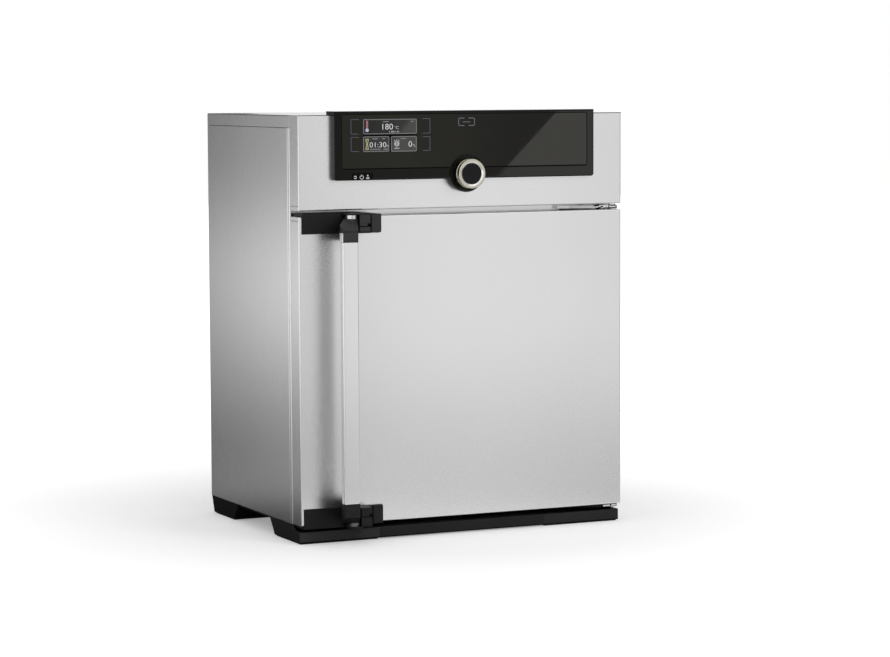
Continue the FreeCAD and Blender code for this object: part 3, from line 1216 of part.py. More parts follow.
PARTS = {
    "side_panel_left": side_panel_left(),
    "side_panel_right": mirrored_right(side_panel_left()),
    "top_cover": top_cover(),
    "rear_panel": rear_panel(),
    "base_tray": base_tray(),
    "front_frame": front_frame(),
    "latch_pocket_top": latch_pocket(),
    "latch_pocket_bottom": mirrored_down(latch_pocket()),
    "striker_top": striker(),
    "striker_bottom": mirrored_down(striker()),
    "header_panel": header_panel(),
    "chamber": chamber(),
    "temperature_probes": temperature_probes(),
    "rear_baffle": rear_baffle(),
    "heater_rods": heater_rods(),
    "insulation": insulation(),
    "chamber_cradle": chamber_cradle(),
    "partition_plate": partition_plate(),
    "exhaust_duct": exhaust_duct(),
    "flap_disc": flap_disc(),
    "flap_shaft": flap_shaft(),
    "flap_actuator": flap_actuator(),
    "mains_inlet": mains_inlet(),
    "power_board": power_board(),
    "wiring_loom": wiring_loom(),
    "foot_front_left": foot_front_left(),
    "foot_front_right": mirrored_right(foot_front_left()),
    "foot_rear_left": foot_rear_left(),
    "foot_rear_right": mirrored_right(foot_rear_left()),
    "foot_pads": foot_pads(),
    "plinth_strip": plinth_strip(),
    "hinge_bracket_top": hinge_bracket_top(),
    "hinge_bracket_bottom": hinge_bracket_bottom(),
    "hinge_pin_top": hinge_pin_top(),
    "hinge_pin_bottom": hinge_pin_bottom(),
    "hinge_bush_top": hinge_bush_top(),
    "hinge_bush_bottom": hinge_bush_bottom(),
    "door_outer_panel": door_outer_panel(),
    "door_inner_panel": door_inner_panel(),
    "door_insulation": door_insulation(),
    "door_seal": door_seal(),
    "latch_housing_top": latch_housing(),
    "latch_housing_bottom": mirrored_down(latch_housing()),
    "latch_lever_top": latch_lever(),
    "latch_lever_bottom": mirrored_down(latch_lever()),
    "handle_pin_top": handle_pin(),
    "handle_pin_bottom": mirrored_down(handle_pin()),
    "handle_bar": handle_bar(),
    "handle_cap_top": handle_cap(),
    "handle_cap_bottom": mirrored_down(handle_cap()),
    "control_housing": control_housing(),
    "control_glass": control_glass(),
    "display_module": display_module(),
    "control_board": control_board(),
    "knob_encoder": knob_encoder(),
    "knob_ring": knob_ring(),
    "confirm_button": confirm_button(),
    "power_button": power_button(),
    "power_switch": power_switch(),
    "grid_shelf": grid_shelf(),
}

os.makedirs("parts", exist_ok=True)
for name, shape in PARTS.items():
    shape.exportStep("parts/" + name + ".step")
    print(name, "solids", len(shape.Solids), "valid", shape.isValid(), "volume", round(shape.Volume))
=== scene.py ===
"""Finishes, readouts, marks, screws and studio for a bench-top hot air oven."""
import json
import math

import bmesh
import bpy
from bpy.props import FloatProperty, FloatVectorProperty, PointerProperty, StringProperty
from mathutils import Matrix, Vector

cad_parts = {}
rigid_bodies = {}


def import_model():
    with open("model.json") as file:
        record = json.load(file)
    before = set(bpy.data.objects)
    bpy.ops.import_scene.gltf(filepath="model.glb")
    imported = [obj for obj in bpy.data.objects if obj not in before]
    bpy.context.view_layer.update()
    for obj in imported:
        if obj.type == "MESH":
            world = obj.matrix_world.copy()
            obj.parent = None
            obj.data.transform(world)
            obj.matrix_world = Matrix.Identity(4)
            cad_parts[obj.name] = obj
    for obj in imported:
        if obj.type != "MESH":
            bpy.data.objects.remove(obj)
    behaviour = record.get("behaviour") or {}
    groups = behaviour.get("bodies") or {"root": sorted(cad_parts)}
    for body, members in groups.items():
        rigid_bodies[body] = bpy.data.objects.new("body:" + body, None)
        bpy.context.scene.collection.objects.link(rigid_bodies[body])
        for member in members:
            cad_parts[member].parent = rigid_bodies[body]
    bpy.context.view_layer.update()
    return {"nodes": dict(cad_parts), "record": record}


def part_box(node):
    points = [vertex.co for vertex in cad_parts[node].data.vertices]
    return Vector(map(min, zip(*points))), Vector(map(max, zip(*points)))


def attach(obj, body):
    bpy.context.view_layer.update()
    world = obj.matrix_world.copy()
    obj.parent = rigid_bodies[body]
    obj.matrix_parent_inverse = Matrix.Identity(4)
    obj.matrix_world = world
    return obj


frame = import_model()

bl_info = {
    "name": "Hot Air Oven",
    "version": (1, 0, 0),
    "blender": (4, 5, 0),
    "location": "View3D > Sidebar > Oven",
    "description": "Finishes, readouts, marks, screws and studio for a bench-top hot air oven",
    "category": "Object",
}

MM = 0.001
NODES = frame["nodes"]
GLASS_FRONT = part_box("control_glass")[0].y
KEY_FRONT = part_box("power_button")[0].y
KNOB_LOW, KNOB_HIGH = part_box("knob_ring")
KNOB_AXIS = (KNOB_LOW + KNOB_HIGH) / 2
REAR_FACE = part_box("rear_panel")[1].y
KNOB_MOUTH = 0.0198
PARTING_SHARE = 0.367
TILE_CENTRE = (-0.115, 0.0, 0.671)
PHOTO_TURN = 0.437
SHADE_LINE_DEPTH = 0.0006
COVER_PROUD, COVER_DEPTH = 0.0005, 0.0009
GAP_PROUD, GAP_DEPTH = 0.0001, 0.0004
FOOT_SHADOW, END_SHADOW, SHADOW_FADE = 0.0014, 0.0021, 0.0006
SHADOW = (0.0015, 0.0015, 0.0015)
DUST_COLOUR = (0.32, 0.31, 0.29)


# Settings that a user would change

class OvenFinishes(bpy.types.PropertyGroup):
    sheet_colour: FloatVectorProperty(
        name="Sheet steel", description="Colour of the outer stainless sheet",
        subtype="COLOR", size=3, min=0.0, max=1.0, default=(0.70, 0.70, 0.702))
    sheet_roughness: FloatProperty(
        name="Sheet roughness", description="Roughness of the textured outer sheet",
        min=0.05, max=1.0, default=0.27)
    moulding_colour: FloatVectorProperty(
        name="Black moulding", description="Colour of the housing, latch housings and feet",
        subtype="COLOR", size=3, min=0.0, max=1.0, default=(0.0075, 0.0075, 0.0078))
    housing_colour: FloatVectorProperty(
        name="Control housing", description="Colour of the housing around the glass",
        subtype="COLOR", size=3, min=0.0, max=1.0, default=(0.0034, 0.0032, 0.0018))
    cap_colour: FloatVectorProperty(
        name="Handle caps", description="Colour of the moulded ends of the handle",
        subtype="COLOR", size=3, min=0.0, max=1.0, default=(0.026, 0.026, 0.027))
    knob_colour: FloatVectorProperty(
        name="Knob", description="Colour of the turned knob ring",
        subtype="COLOR", size=3, min=0.0, max=1.0, default=(0.52, 0.495, 0.40))
    glass_colour: FloatVectorProperty(
        name="Front glass", description="Colour of the print behind the control glass",
        subtype="COLOR", size=3, min=0.0, max=1.0, default=(0.0084, 0.0082, 0.0052))
    edge_width: FloatProperty(
        name="Edge width", description="Width of the worn or rounded line along edges",
        unit="LENGTH", subtype="DISTANCE", min=0.0001, max=0.005, default=0.0014)


class OvenReadouts(bpy.types.PropertyGroup):
    temperature: StringProperty(
        name="Temperature", description="Number in the upper readout", default="180")
    time_left: StringProperty(
        name="Time", description="Number in the lower left readout", default="01:30")
    flap: StringProperty(
        name="Air flap", description="Number in the lower right readout", default="0")
    tile_colour: FloatVectorProperty(
        name="Tile", description="Colour of the readout tiles",
        subtype="COLOR", size=3, min=0.0, max=1.0, default=(0.010, 0.010, 0.0095))
    line_colour: FloatVectorProperty(
        name="Lines", description="Colour of the tile borders",
        subtype="COLOR", size=3, min=0.0, max=1.0, default=(0.15, 0.15, 0.15))
    proud: FloatProperty(
        name="Stand-off", description="Thickness of a readout in front of the glass",
        unit="LENGTH", subtype="DISTANCE", min=0.00002, max=0.001, default=0.00008)


class OvenScrews(bpy.types.PropertyGroup):
    head_radius: FloatProperty(
        name="Head radius", description="Radius of a screw head",
        unit="LENGTH", subtype="DISTANCE", min=0.001, max=0.01, default=0.0036)
    head_height: FloatProperty(
        name="Head height", description="Height of a screw head above the sheet",
        unit="LENGTH", subtype="DISTANCE", min=0.0005, max=0.005, default=0.0020)
    recess_depth: FloatProperty(
        name="Recess depth", description="Depth of the cross recess",
        unit="LENGTH", subtype="DISTANCE", min=0.0002, max=0.003, default=0.0012)


class OvenStudio(bpy.types.PropertyGroup):
    room_level: FloatProperty(
        name="Room light", description="Strength of the light from all round",
        min=0.0, max=2.0, default=0.62)
    lamp_power: FloatProperty(
        name="Key lamp", description="Power of the large soft lamp",
        unit="POWER", min=0.0, max=500.0, default=26.0)
    sheen_power: FloatProperty(
        name="Sheen lamp", description="Power of the lamp mirrored in the control glass",
        unit="POWER", min=0.0, max=100.0, default=4.0)
    floor_colour: FloatVectorProperty(
        name="Floor", description="Colour of the floor",
        subtype="COLOR", size=3, min=0.0, max=1.0, default=(0.86, 0.86, 0.86))


# Shader trees

def feed(tree, socket, source):
    """Links a source socket, or sets a plain value."""
    if isinstance(source, bpy.types.NodeSocket):
        tree.links.new(source, socket)
    elif socket.type == "RGBA" and len(source) == 3:
        socket.default_value = (*source, 1.0)
    else:
        socket.default_value = source


def fed(tree, node, sources):
    """Feeds the sockets of a node, each called by its label or number."""
    for label, source in sources.items():
        feed(tree, node.inputs[label], source)
    return node


def add_node(tree, kind, sources=None, **settings):
    """Adds one shader node with its settings and what feeds it."""
    made = tree.nodes.new(kind)
    for name, value in settings.items():
        setattr(made, name, value)
    return fed(tree, made, sources or {})


def calculate(tree, operation, first, second=0.0, third=0.0, clamp=False):
    """One Math node."""
    return add_node(tree, "ShaderNodeMath", {0: first, 1: second, 2: third},
                    operation=operation, use_clamp=clamp).outputs[0]


def between(tree, factor, first, second):
    """Mixes two colours by a factor."""
    return add_node(tree, "ShaderNodeMix", {0: factor, 6: first, 7: second},
                    data_type="RGBA").outputs[2]


def ranged(tree, value, from_low, from_high, to_low=0.0, to_high=1.0):
    """Maps a value from one range to another and holds it there."""
    return add_node(tree, "ShaderNodeMapRange",
                    {0: value, 1: from_low, 2: from_high, 3: to_low, 4: to_high}).outputs[0]


def below(tree, value, limit, fade):
    """1 up to a limit, then falling to 0 over a short way."""
    return ranged(tree, value, limit, limit + fade, 1.0, 0.0)


def greys(tree, value, stops):
    """Greys along a value, given as pairs of value and grey."""
    low, high = stops[0][0], stops[-1][0]
    ramp = add_node(tree, "ShaderNodeValToRGB", {"Fac": ranged(tree, value, low, high)})
    marks = ramp.color_ramp.elements
    while len(marks) < len(stops):
        marks.new(0.5)
    for mark, (level, _) in zip(marks, stops):
        mark.position = (level - low) / (high - low)
    for mark, (_, grey) in zip(marks, stops):
        mark.color = (grey, grey, grey, 1.0)
    return ramp.outputs["Color"]


def own_place(tree, scale=(1.0, 1.0, 1.0), centre=(0.0, 0.0, 0.0), turn=(0.0, 0.0, 0.0)):
    """Object coordinates about a centre, turned and scaled."""
    place = add_node(tree, "ShaderNodeTexCoord").outputs["Object"]
    return add_node(tree, "ShaderNodeMapping",
                    {"Vector": place, "Location": centre, "Rotation": turn,
                     "Scale": [1.0 / number for number in scale]},
                    vector_type="TEXTURE").outputs["Vector"]


def parted(tree, **how):
    """The three object coordinates, each on its own."""
    return add_node(tree, "ShaderNodeSeparateXYZ", {0: own_place(tree, **how)}).outputs


def distance(tree, place):
    """How far a place is from the origin."""
    return add_node(tree, "ShaderNodeVectorMath", {0: place}, operation="LENGTH").outputs["Value"]


def noise(tree, place, scale, detail=3.0, roughness=0.55):
    """A noise value from 0 to 1."""
    return add_node(tree, "ShaderNodeTexNoise",
                    {"Vector": place, "Scale": scale, "Detail": detail,
                     "Roughness": roughness}).outputs["Fac"]


def new_group(name, inputs, *outputs):
    """An empty node group with its sockets, and its two end nodes."""
    tree = bpy.data.node_groups.new(name, "ShaderNodeTree")
    for label, value in inputs.items():
        kind = "NodeSocketVector" if isinstance(value, tuple) else "NodeSocketFloat"
        socket = tree.interface.new_socket(name=label, in_out="INPUT", socket_type=kind)
        socket.default_value = value
    for label in outputs:
        kind = "NodeSocketVector" if label == "Normal" else "NodeSocketFloat"
        tree.interface.new_socket(name=label, in_out="OUTPUT", socket_type=kind)
    return tree, add_node(tree, "NodeGroupInput").outputs, add_node(tree, "NodeGroupOutput")


def edge_wear_and_light_group():
    """Mask and softened normal along the edges of a piece. The mask marks wear and also paints
    highlights and shade along the edges.
    """
    tree, given, end = new_group("Edge wear", {"Width": 0.001, "Amount": 1.0, "Breakup": 120.0},
                                 "Mask", "Normal")
    rounded = add_node(tree, "ShaderNodeBevel", {"Radius": given["Width"]}, samples=6).outputs[0]
    flat = add_node(tree, "ShaderNodeNewGeometry").outputs["Normal"]
    dot = add_node(tree, "ShaderNodeVectorMath", {0: rounded, 1: flat}, operation="DOT_PRODUCT")
    turned = ranged(tree, dot.outputs["Value"], 0.995, 0.86)
    speckle = noise(tree, own_place(tree), given["Breakup"], detail=2.0, roughness=0.5)
    mask = calculate(tree, "MULTIPLY", turned, ranged(tree, speckle, 0.35, 0.62, 0.35, 1.0))
    mask = calculate(tree, "MULTIPLY", mask, given["Amount"], clamp=True)
    fed(tree, end, {"Mask": mask, "Normal": rounded})


def grain_group():
    """Fine grain stretched along one direction, with a slower patchiness."""
    tree, given, end = new_group(
        "Grain", {"Stretch": (1.0, 1.0, 1.0), "Fineness": 900.0, "Patch size": 6.0},
        "Grain", "Patch")
    place = add_node(tree, "ShaderNodeTexCoord").outputs["Object"]
    stretched = add_node(tree, "ShaderNodeVectorMath", {0: place, 1: given["Stretch"]},
                         operation="MULTIPLY").outputs["Vector"]
    fine = noise(tree, stretched, given["Fineness"], detail=2.0, roughness=0.5)
    slow = noise(tree, place, given["Patch size"], detail=4.0, roughness=0.5)
    fed(tree, end, {"Grain": ranged(tree, fine, 0.3, 0.7), "Patch": ranged(tree, slow, 0.3, 0.7)})


def dust_group():
    """Thin dust on faces that look up."""
    tree, given, end = new_group("Dust", {"Amount": 0.2, "Clumps": 60.0}, "Mask")
    normal = add_node(tree, "ShaderNodeNewGeometry").outputs["Normal"]
    facing = add_node(tree, "ShaderNodeSeparateXYZ", {0: normal}).outputs["Z"]
    clumps = noise(tree, own_place(tree), given["Clumps"], detail=5.0, roughness=0.5)
    mask = calculate(tree, "MULTIPLY", ranged(tree, facing, 0.3, 0.95),
                     ranged(tree, clumps, 0.35, 0.75, 0.2, 1.0))
    fed(tree, end, {"Mask": calculate(tree, "MULTIPLY", mask, given["Amount"], clamp=True)})


def use_group(tree, name, **values):
    """Places a shared group in a material with its own values."""
    sources = {label.replace("_", " "): value for label, value in values.items()}
    return add_node(tree, "ShaderNodeGroup", sources, node_tree=bpy.data.node_groups[name]).outputs


def empty_tree(owner):
    """The cleared shader tree of a material or a world."""
    owner.use_nodes = True
    owner.node_tree.nodes.clear()
    return owner.node_tree


def new_material(name):
    """A material with its tree and its shader."""
    material = bpy.data.materials.new(name)
    tree = empty_tree(material)
    shader = add_node(tree, "ShaderNodeBsdfPrincipled")
    add_node(tree, "ShaderNodeOutputMaterial", {"Surface": shader.outputs[0]})
    return material, tree, shader


def dress(tree, shader, colour, roughness, height, depth, normal=None, **others):
    """Feeds the shader its colour, roughness, a bump of some depth and plain values."""
    bump = add_node(tree, "ShaderNodeBump", {"Distance": depth, "Height": height})
    if normal is not None:
        feed(tree, bump.inputs["Normal"], normal)
    fed(tree, shader, {"Base Color": colour, "Roughness": roughness,
                       "Normal": bump.outputs["Normal"]})
    fed(tree, shader, {label.replace("_", " "): value for label, value in others.items()})


def tinted(colour, factor):
    """A lighter or darker shade of a colour."""
    return tuple(min(1.0, channel * factor) for channel in colour)


def tints(colour, *factors):
    """Several shades of a colour."""
    return [tinted(colour, factor) for factor in factors]


# Plain finishes

def surface(name, colours, rough, spread, edge_amount, fineness, patch, depth, edge,
            specular=0.5, metallic=0.0, stretch=(1.0, 1.0, 1.0), dust=0.0):
    """Two colours in patches, a third on the edges as wear and painted light, a grain bump and a
    little dust.
    """
    material, tree, shader = new_material(name)
    first, second, edge_wear_and_light_colour = colours
    grain = use_group(tree, "Grain", Stretch=stretch, Fineness=fineness, Patch_size=patch)
    wear_and_light = use_group(tree, "Edge wear", Width=edge, Amount=edge_amount)
    shade = calculate(tree, "MULTIPLY_ADD", grain["Patch"], 0.6,
                      calculate(tree, "MULTIPLY", grain["Grain"], 0.4))
    # The edge colour is wear and painted light: highlights and shade drawn along the edges.
    body = between(tree, wear_and_light["Mask"], between(tree, shade, first, second), edge_wear_and_light_colour)
    if dust:
        body = between(tree, use_group(tree, "Dust", Amount=dust)["Mask"], body, DUST_COLOUR)
    dress(tree, shader, body, ranged(tree, shade, 0.0, 1.0, rough - spread, rough + spread),
          grain["Grain"], depth, wear_and_light["Normal"], Metallic=metallic, Specular_IOR_Level=specular)
    return material


# Name: base colour or setting, its shades in patches and on edges (wear and painted light),
# roughness and its spread, strength of the edges, fineness of the grain, scale of the patches,
# depth of the grain, width of the edges, specular level, further values.
PLAIN_FINISHES = {
    "bright_steel": (None, ((0.60, 0.59, 0.57), (0.66, 0.655, 0.64), (0.80, 0.79, 0.77)), 0.24,
                     0.05, 0.7, 1400.0, 5.0, 0.000008, 0.0008, 0.5,
                     {"metallic": 1.0, "stretch": (1.0, 0.12, 1.0)}),
    "turned_steel": (None, ((0.62, 0.62, 0.61), (0.72, 0.72, 0.71), (0.88, 0.88, 0.87)), 0.26, 0.06,
                     0.9, 2200.0, 30.0, 0.000008, 0.0005, 0.5,
                     {"metallic": 1.0, "stretch": (0.25, 1.0, 1.0)}),
    # Painted shade: a darkened copy of the steel for the lower latch lever and pin.
    "dull_steel": ("sheet_colour", (0.18, 0.24, 0.55), 0.42, 0.08, 0.7, 2200.0, 30.0, 0.000008,
                   0.0005, 0.5, {"metallic": 1.0, "stretch": (0.25, 1.0, 1.0)}),
    "heater_sheath": (None, ((0.10, 0.085, 0.08), (0.17, 0.15, 0.17), (0.30, 0.28, 0.26)), 0.46,
                      0.10, 0.4, 1200.0, 40.0, 0.00001, 0.0004, 0.5, {"metallic": 0.9}),
    "bearing_plastic": (None, ((0.70, 0.69, 0.65), (0.78, 0.77, 0.73), (0.84, 0.83, 0.80)), 0.36,
                        0.06, 0.5, 1500.0, 40.0, 0.00001, 0.0005, 0.5, {}),
    "pad_rubber": ((0.022, 0.022, 0.022), (1.0, 1.5, 2.4), 0.72, 0.08, 0.5, 1800.0, 25.0, 0.00004,
                   0.001, 0.3, {"dust": 0.05}),
    "seal_rubber": ((0.030, 0.029, 0.028), (1.0, 1.5, 2.4), 0.72, 0.08, 0.5, 1800.0, 25.0, 0.00004,
                    0.001, 0.3, {"dust": 0.10}),
    "black_moulding": ("moulding_colour", (1.0, 1.5, 3.0), 0.46, 0.07, 0.6, 2600.0, 14.0, 0.00003,
                       0.0008, 0.16, {}),
    "foot_moulding": ("moulding_colour", (1.6, 2.1, 9.0), 0.60, 0.06, 0.9, 2400.0, 14.0, 0.00003,
                      0.0011, 0.05, {}),
    "strip_moulding": ("moulding_colour", (2.6, 3.4, 5.0), 0.62, 0.06, 0.6, 2400.0, 10.0, 0.00003,
                       0.0009, 0.05, {}),
    # Painted shade: the rear feet are a darker copy of the foot moulding.
    "rear_foot_moulding": ("moulding_colour", (0.8, 1.2, 3.5), 0.62, 0.06, 0.6, 2400.0, 14.0,
                           0.00003, 0.0009, 0.04, {}),
    # Painted shade: near-black coat on the base tray and the lower hinge bracket, which lie in
    # shade.
    "dark_coat": ("moulding_colour", (0.5, 0.8, 2.0), 0.62, 0.06, 0.4, 1800.0, 20.0, 0.00002,
                  0.0006, 0.10, {}),
    # Painted shade: near-black sheet for shaded gaps and lines, also the black print between the
    # readout tiles.
    "groove_black": ("moulding_colour", (0.2, 0.4, 0.4), 0.70, 0.05, 0.2, 2000.0, 20.0, 0.00001,
                     0.0003, 0.03, {}),
    "housing_moulding": ("housing_colour", (1.0, 1.2, 3.0), 0.045, 0.015, 0.5, 1500.0, 10.0,
                         0.0000006, 0.0008, 0.14, {}),
    "key_moulding": ("housing_colour", (0.3, 0.5, 2.5), 0.12, 0.03, 0.5, 1500.0, 20.0, 0.000001,
                     0.0006, 0.08, {}),
    "grey_moulding": ("cap_colour", (1.0, 1.25, 2.2), 0.42, 0.06, 0.7, 2200.0, 18.0, 0.00003,
                      0.0008, 0.3, {}),
    "upper_cap": ("cap_colour", (0.8, 1.0, 2.0), 0.42, 0.06, 0.7, 2200.0, 18.0, 0.00003,
                  0.0008, 0.3, {}),
    # Painted shade: the lower cap is a darker copy of the upper cap.
    "lower_cap": ("cap_colour", (0.22, 0.32, 1.2), 0.46, 0.06, 0.7, 2200.0, 18.0, 0.00003,
                  0.0008, 0.2, {}),
}


def plain(look, name):
    """One finish of the list."""
    base, shades, *values, extras = PLAIN_FINISHES[name]
    if base:
        shades = tints(getattr(look, base) if isinstance(base, str) else base, *shades)
    return surface(name, shades, *values, **extras)


def latch_moulding_painted_light(look, name, tone):
    """Black cover on a latch housing; its tone is painted light, lighter on the upper covers and
    darker on the lower ones.
    """
    return surface(name, tints(look.moulding_colour, tone, tone * 1.3, tone * 2.0), 0.5, 0.06, 0.7,
                   2600.0, 14.0, 0.00003, 0.0006, 0.2)


def sheet_steel(look):
    """Textured stainless outer sheet."""
    return surface("textured_steel", tints(look.sheet_colour, 0.97, 1.03, 0.95),
                   look.sheet_roughness, 0.015, 0.6, 1600.0, 3.0, 0.000003, look.edge_width,
                   metallic=1.0, stretch=(1.0, 1.0, 0.6))


def bar_steel(look):
    """Handle bar, ground finer than the sheet."""
    return surface("bar_steel", tints(look.sheet_colour, 1.05, 1.10, 0.9),
                   look.sheet_roughness - 0.03, 0.02, 0.7, 1500.0, 6.0, 0.000003, look.edge_width,
                   metallic=1.0, stretch=(1.0, 1.0, 0.15))


# Finishes with marks of their own

def body_colour(material):
    """The tree and the main shader of a material, and what feeds its colour."""
    tree = material.node_tree
    shader = next(part for part in tree.nodes if part.type == "BSDF_PRINCIPLED")
    return tree, shader, shader.inputs["Base Color"].links[0].from_socket


def foot_moulding(look):
    """Dull black front feet with a painted highlight on the front, lighter on the left foot, and
    painted shadow along the foot and at the right end.
    """
    feet = plain(look, "foot_moulding")
    tree, shader, body = body_colour(feet)
    place = parted(tree)
    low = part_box("foot_front_left")[0]
    right_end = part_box("foot_front_right")[1].x
    # Painted highlight: the front face is drawn lighter, more on the left foot than on the right.
    painted_front_light = between(tree, ranged(tree, place["X"], low.x, right_end),
                     *tints(look.moulding_colour, 6.2, 3.5))
    front_reach, front_fade = 0.0005, 0.0010
    body = between(tree, below(tree, place["Y"], low.y + front_reach, front_fade), body, painted_front_light)
    # Painted shadow along the foot and at the right end.
    body = between(tree, below(tree, place["Z"], low.z + FOOT_SHADOW, SHADOW_FADE), body, SHADOW)
    dark_from = right_end - END_SHADOW
    end = ranged(tree, place["X"], dark_from, dark_from + SHADOW_FADE)
    feed(tree, shader.inputs["Base Color"], between(tree, end, body, SHADOW))
    return feet


def strip_moulding(look):
    """Dull black plinth strip with painted shadow along its foot."""
    strip = plain(look, "strip_moulding")
    tree, shader, body = body_colour(strip)
    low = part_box("plinth_strip")[0]
    # Painted shadow along the foot of the strip.
    foot = below(tree, parted(tree)["Z"], low.z + FOOT_SHADOW, SHADOW_FADE)
    feed(tree, shader.inputs["Base Color"], between(tree, foot, body, SHADOW))
    return strip


def scored(material, height):
    """Darkens a material along a level parting line."""
    tree, shader, body = body_colour(material)
    half_width, fade = 0.0009, 0.0004
    away = calculate(tree, "ABSOLUTE", calculate(tree, "SUBTRACT", parted(tree)["Z"], height))
    body = between(tree, below(tree, away, half_width, fade), body, (0.006, 0.006, 0.006))
    feed(tree, shader.inputs["Base Color"], body)
    return material


def upper_cap(look):
    """Upper handle cap with its parting line and a steel strip let into its left edge."""
    low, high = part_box("handle_cap_top")
    cap = scored(plain(look, "upper_cap"), high.z - PARTING_SHARE * (high.z - low.z))
    tree, shader, body = body_colour(cap)
    place = parted(tree)
    width, height = 0.0005, 0.0300
    strip = calculate(tree, "MULTIPLY", below(tree, place["X"], low.x + width, 0.0003),
                      below(tree, place["Z"], low.z + height, 0.0005))
    steel = tinted(look.sheet_colour, 1.1)
    fed(tree, shader, {"Metallic": strip, "Base Color": between(tree, strip, body, steel)})
    return cap


def lower_cap(look):
    """Lower handle cap with its parting line, a darker copy of the upper cap for painted shade."""
    low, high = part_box("handle_cap_bottom")
    return scored(plain(look, "lower_cap"), low.z + PARTING_SHARE * (high.z - low.z))


def zinc_steel(look):
    """Zinc-coated sheet with its crystal spangle."""
    material, tree, shader = new_material("zinc_steel")
    place = own_place(tree)
    cells = add_node(tree, "ShaderNodeTexVoronoi", {"Vector": place, "Scale": 95.0}, feature="F1")
    value = add_node(tree, "ShaderNodeSeparateColor", {0: cells.outputs["Color"]}).outputs[0]
    cloud = calculate(tree, "MULTIPLY", noise(tree, place, 14.0), 0.25)
    flakes = calculate(tree, "MULTIPLY_ADD", value, 0.75, cloud)
    wear_and_light = use_group(tree, "Edge wear", Width=0.0008, Amount=0.7)
    body = between(tree, flakes, (0.44, 0.455, 0.465), (0.60, 0.61, 0.62))
    # Painted highlight along the edges of the zinc sheet.
    body = between(tree, wear_and_light["Mask"], body, (0.72, 0.73, 0.74))
    dress(tree, shader, body, ranged(tree, flakes, 0.0, 1.0, 0.50, 0.32), flakes, 0.00001,
          wear_and_light["Normal"], Metallic=1.0)
    return material


def turned_rings(tree, scale, **further):
    """Rings about the axis of the knob, and the place they are drawn at."""
    place = own_place(tree, centre=(KNOB_AXIS.x, KNOB_AXIS.y, KNOB_AXIS.z))
    rings = add_node(tree, "ShaderNodeTexWave", {"Vector": place, "Scale": scale},
                     wave_type="RINGS", rings_direction="Y")
    fed(tree, rings, {label.replace("_", " "): value for label, value in further.items()})
    return rings.outputs["Fac"], place


def knob_metal(look):
    """Champagne anodised ring with the fine rings that turning leaves, and painted highlights on
    its edges and its mouth.
    """
    material, tree, shader = new_material("knob_metal")
    rings, place = turned_rings(tree, 800.0, Distortion=1.2, Detail_Scale=40.0)
    wear_and_light = use_group(tree, "Edge wear", Width=0.0007, Amount=1.0, Breakup=40.0)
    body = between(tree, ranged(tree, noise(tree, place, 55.0), 0.3, 0.7),
                   *tints(look.knob_colour, 0.93, 1.06))
    body = between(tree, wear_and_light["Mask"], body, (0.80, 0.78, 0.70))
    flat = add_node(tree, "ShaderNodeVectorMath", {0: place, 1: (1.0, 0.0, 1.0)},
                    operation="MULTIPLY")
    # Painted highlight on the inner chamfer of the ring.
    mouth_highlight = below(tree, distance(tree, flat.outputs["Vector"]), KNOB_MOUTH, 0.0003)
    body = between(tree, mouth_highlight, body, (0.93, 0.92, 0.89))
    dress(tree, shader, body, ranged(tree, rings, 0.0, 1.0, 0.20, 0.27), rings, 0.000004,
          wear_and_light["Normal"], Metallic=1.0)
    return material


def button_face(look):
    """Matt black disc in the knob, with a faint turned texture."""
    material, tree, shader = new_material("button_face")
    rings, _ = turned_rings(tree, 500.0)
    grain = use_group(tree, "Grain", Fineness=2600.0, Patch_size=60.0)
    wear_and_light = use_group(tree, "Edge wear", Width=0.0006, Amount=0.6)
    body = between(tree, grain["Patch"], (0.0060, 0.0058, 0.0066), (0.0090, 0.0088, 0.0098))
    # Painted highlight along the edges of the disc.
    body = between(tree, wear_and_light["Mask"], body, (0.03, 0.03, 0.03))
    dress(tree, shader, body, ranged(tree, grain["Grain"], 0.0, 1.0, 0.46, 0.56),
          calculate(tree, "MULTIPLY_ADD", rings, 0.3, grain["Grain"]), 0.00001, wear_and_light["Normal"],
          Specular_IOR_Level=0.12)
    return material


def dark_glass(look):
    """Toughened front glass printed black behind, with faint wiping marks and a painted reflection
    that makes it lighter at the left.
    """
    material, tree, shader = new_material("dark_glass")
    across = own_place(tree, scale=(3.0, 1.0, 9.0), turn=(0.0, 0.5, 0.0))
    wipes = noise(tree, across, 6.0, detail=5.0)
    haze = ranged(tree, wipes, 0.35, 0.7)
    wear_and_light = use_group(tree, "Edge wear", Width=0.0007, Amount=0.9, Breakup=10.0)
    body = between(tree, haze, look.glass_colour, tinted(look.glass_colour, 1.25))
    # Painted reflection: the print is lighter at the left and near black at the right.
    body = between(tree, ranged(tree, parted(tree)["X"], -0.14, 0.08), body,
                   tinted(look.glass_colour, 0.12))
    body = between(tree, wear_and_light["Mask"], body, (0.02, 0.02, 0.018))
    dress(tree, shader, body, ranged(tree, haze, 0.0, 1.0, 0.015, 0.04),
          noise(tree, own_place(tree), 30.0), 0.000001, wear_and_light["Normal"], IOR=1.30,
          Specular_Tint=(1.0, 0.985, 0.91))
    return material


def display_cell(look):
    """Face of the display unit, with its pixel rows."""
    material, tree, shader = new_material("display_cell")
    rows = add_node(tree, "ShaderNodeTexBrick",
                    {"Vector": own_place(tree, turn=(math.pi / 2, 0.0, 0.0)), "Scale": 900.0,
                     "Color1": (0.020, 0.022, 0.030), "Color2": (0.026, 0.028, 0.038),
                     "Mortar": (0.006, 0.006, 0.007)}, offset=0.0).outputs
    dress(tree, shader, rows["Color"], ranged(tree, rows["Fac"], 0.0, 1.0, 0.15, 0.35),
          rows["Fac"], 0.00001)
    return material


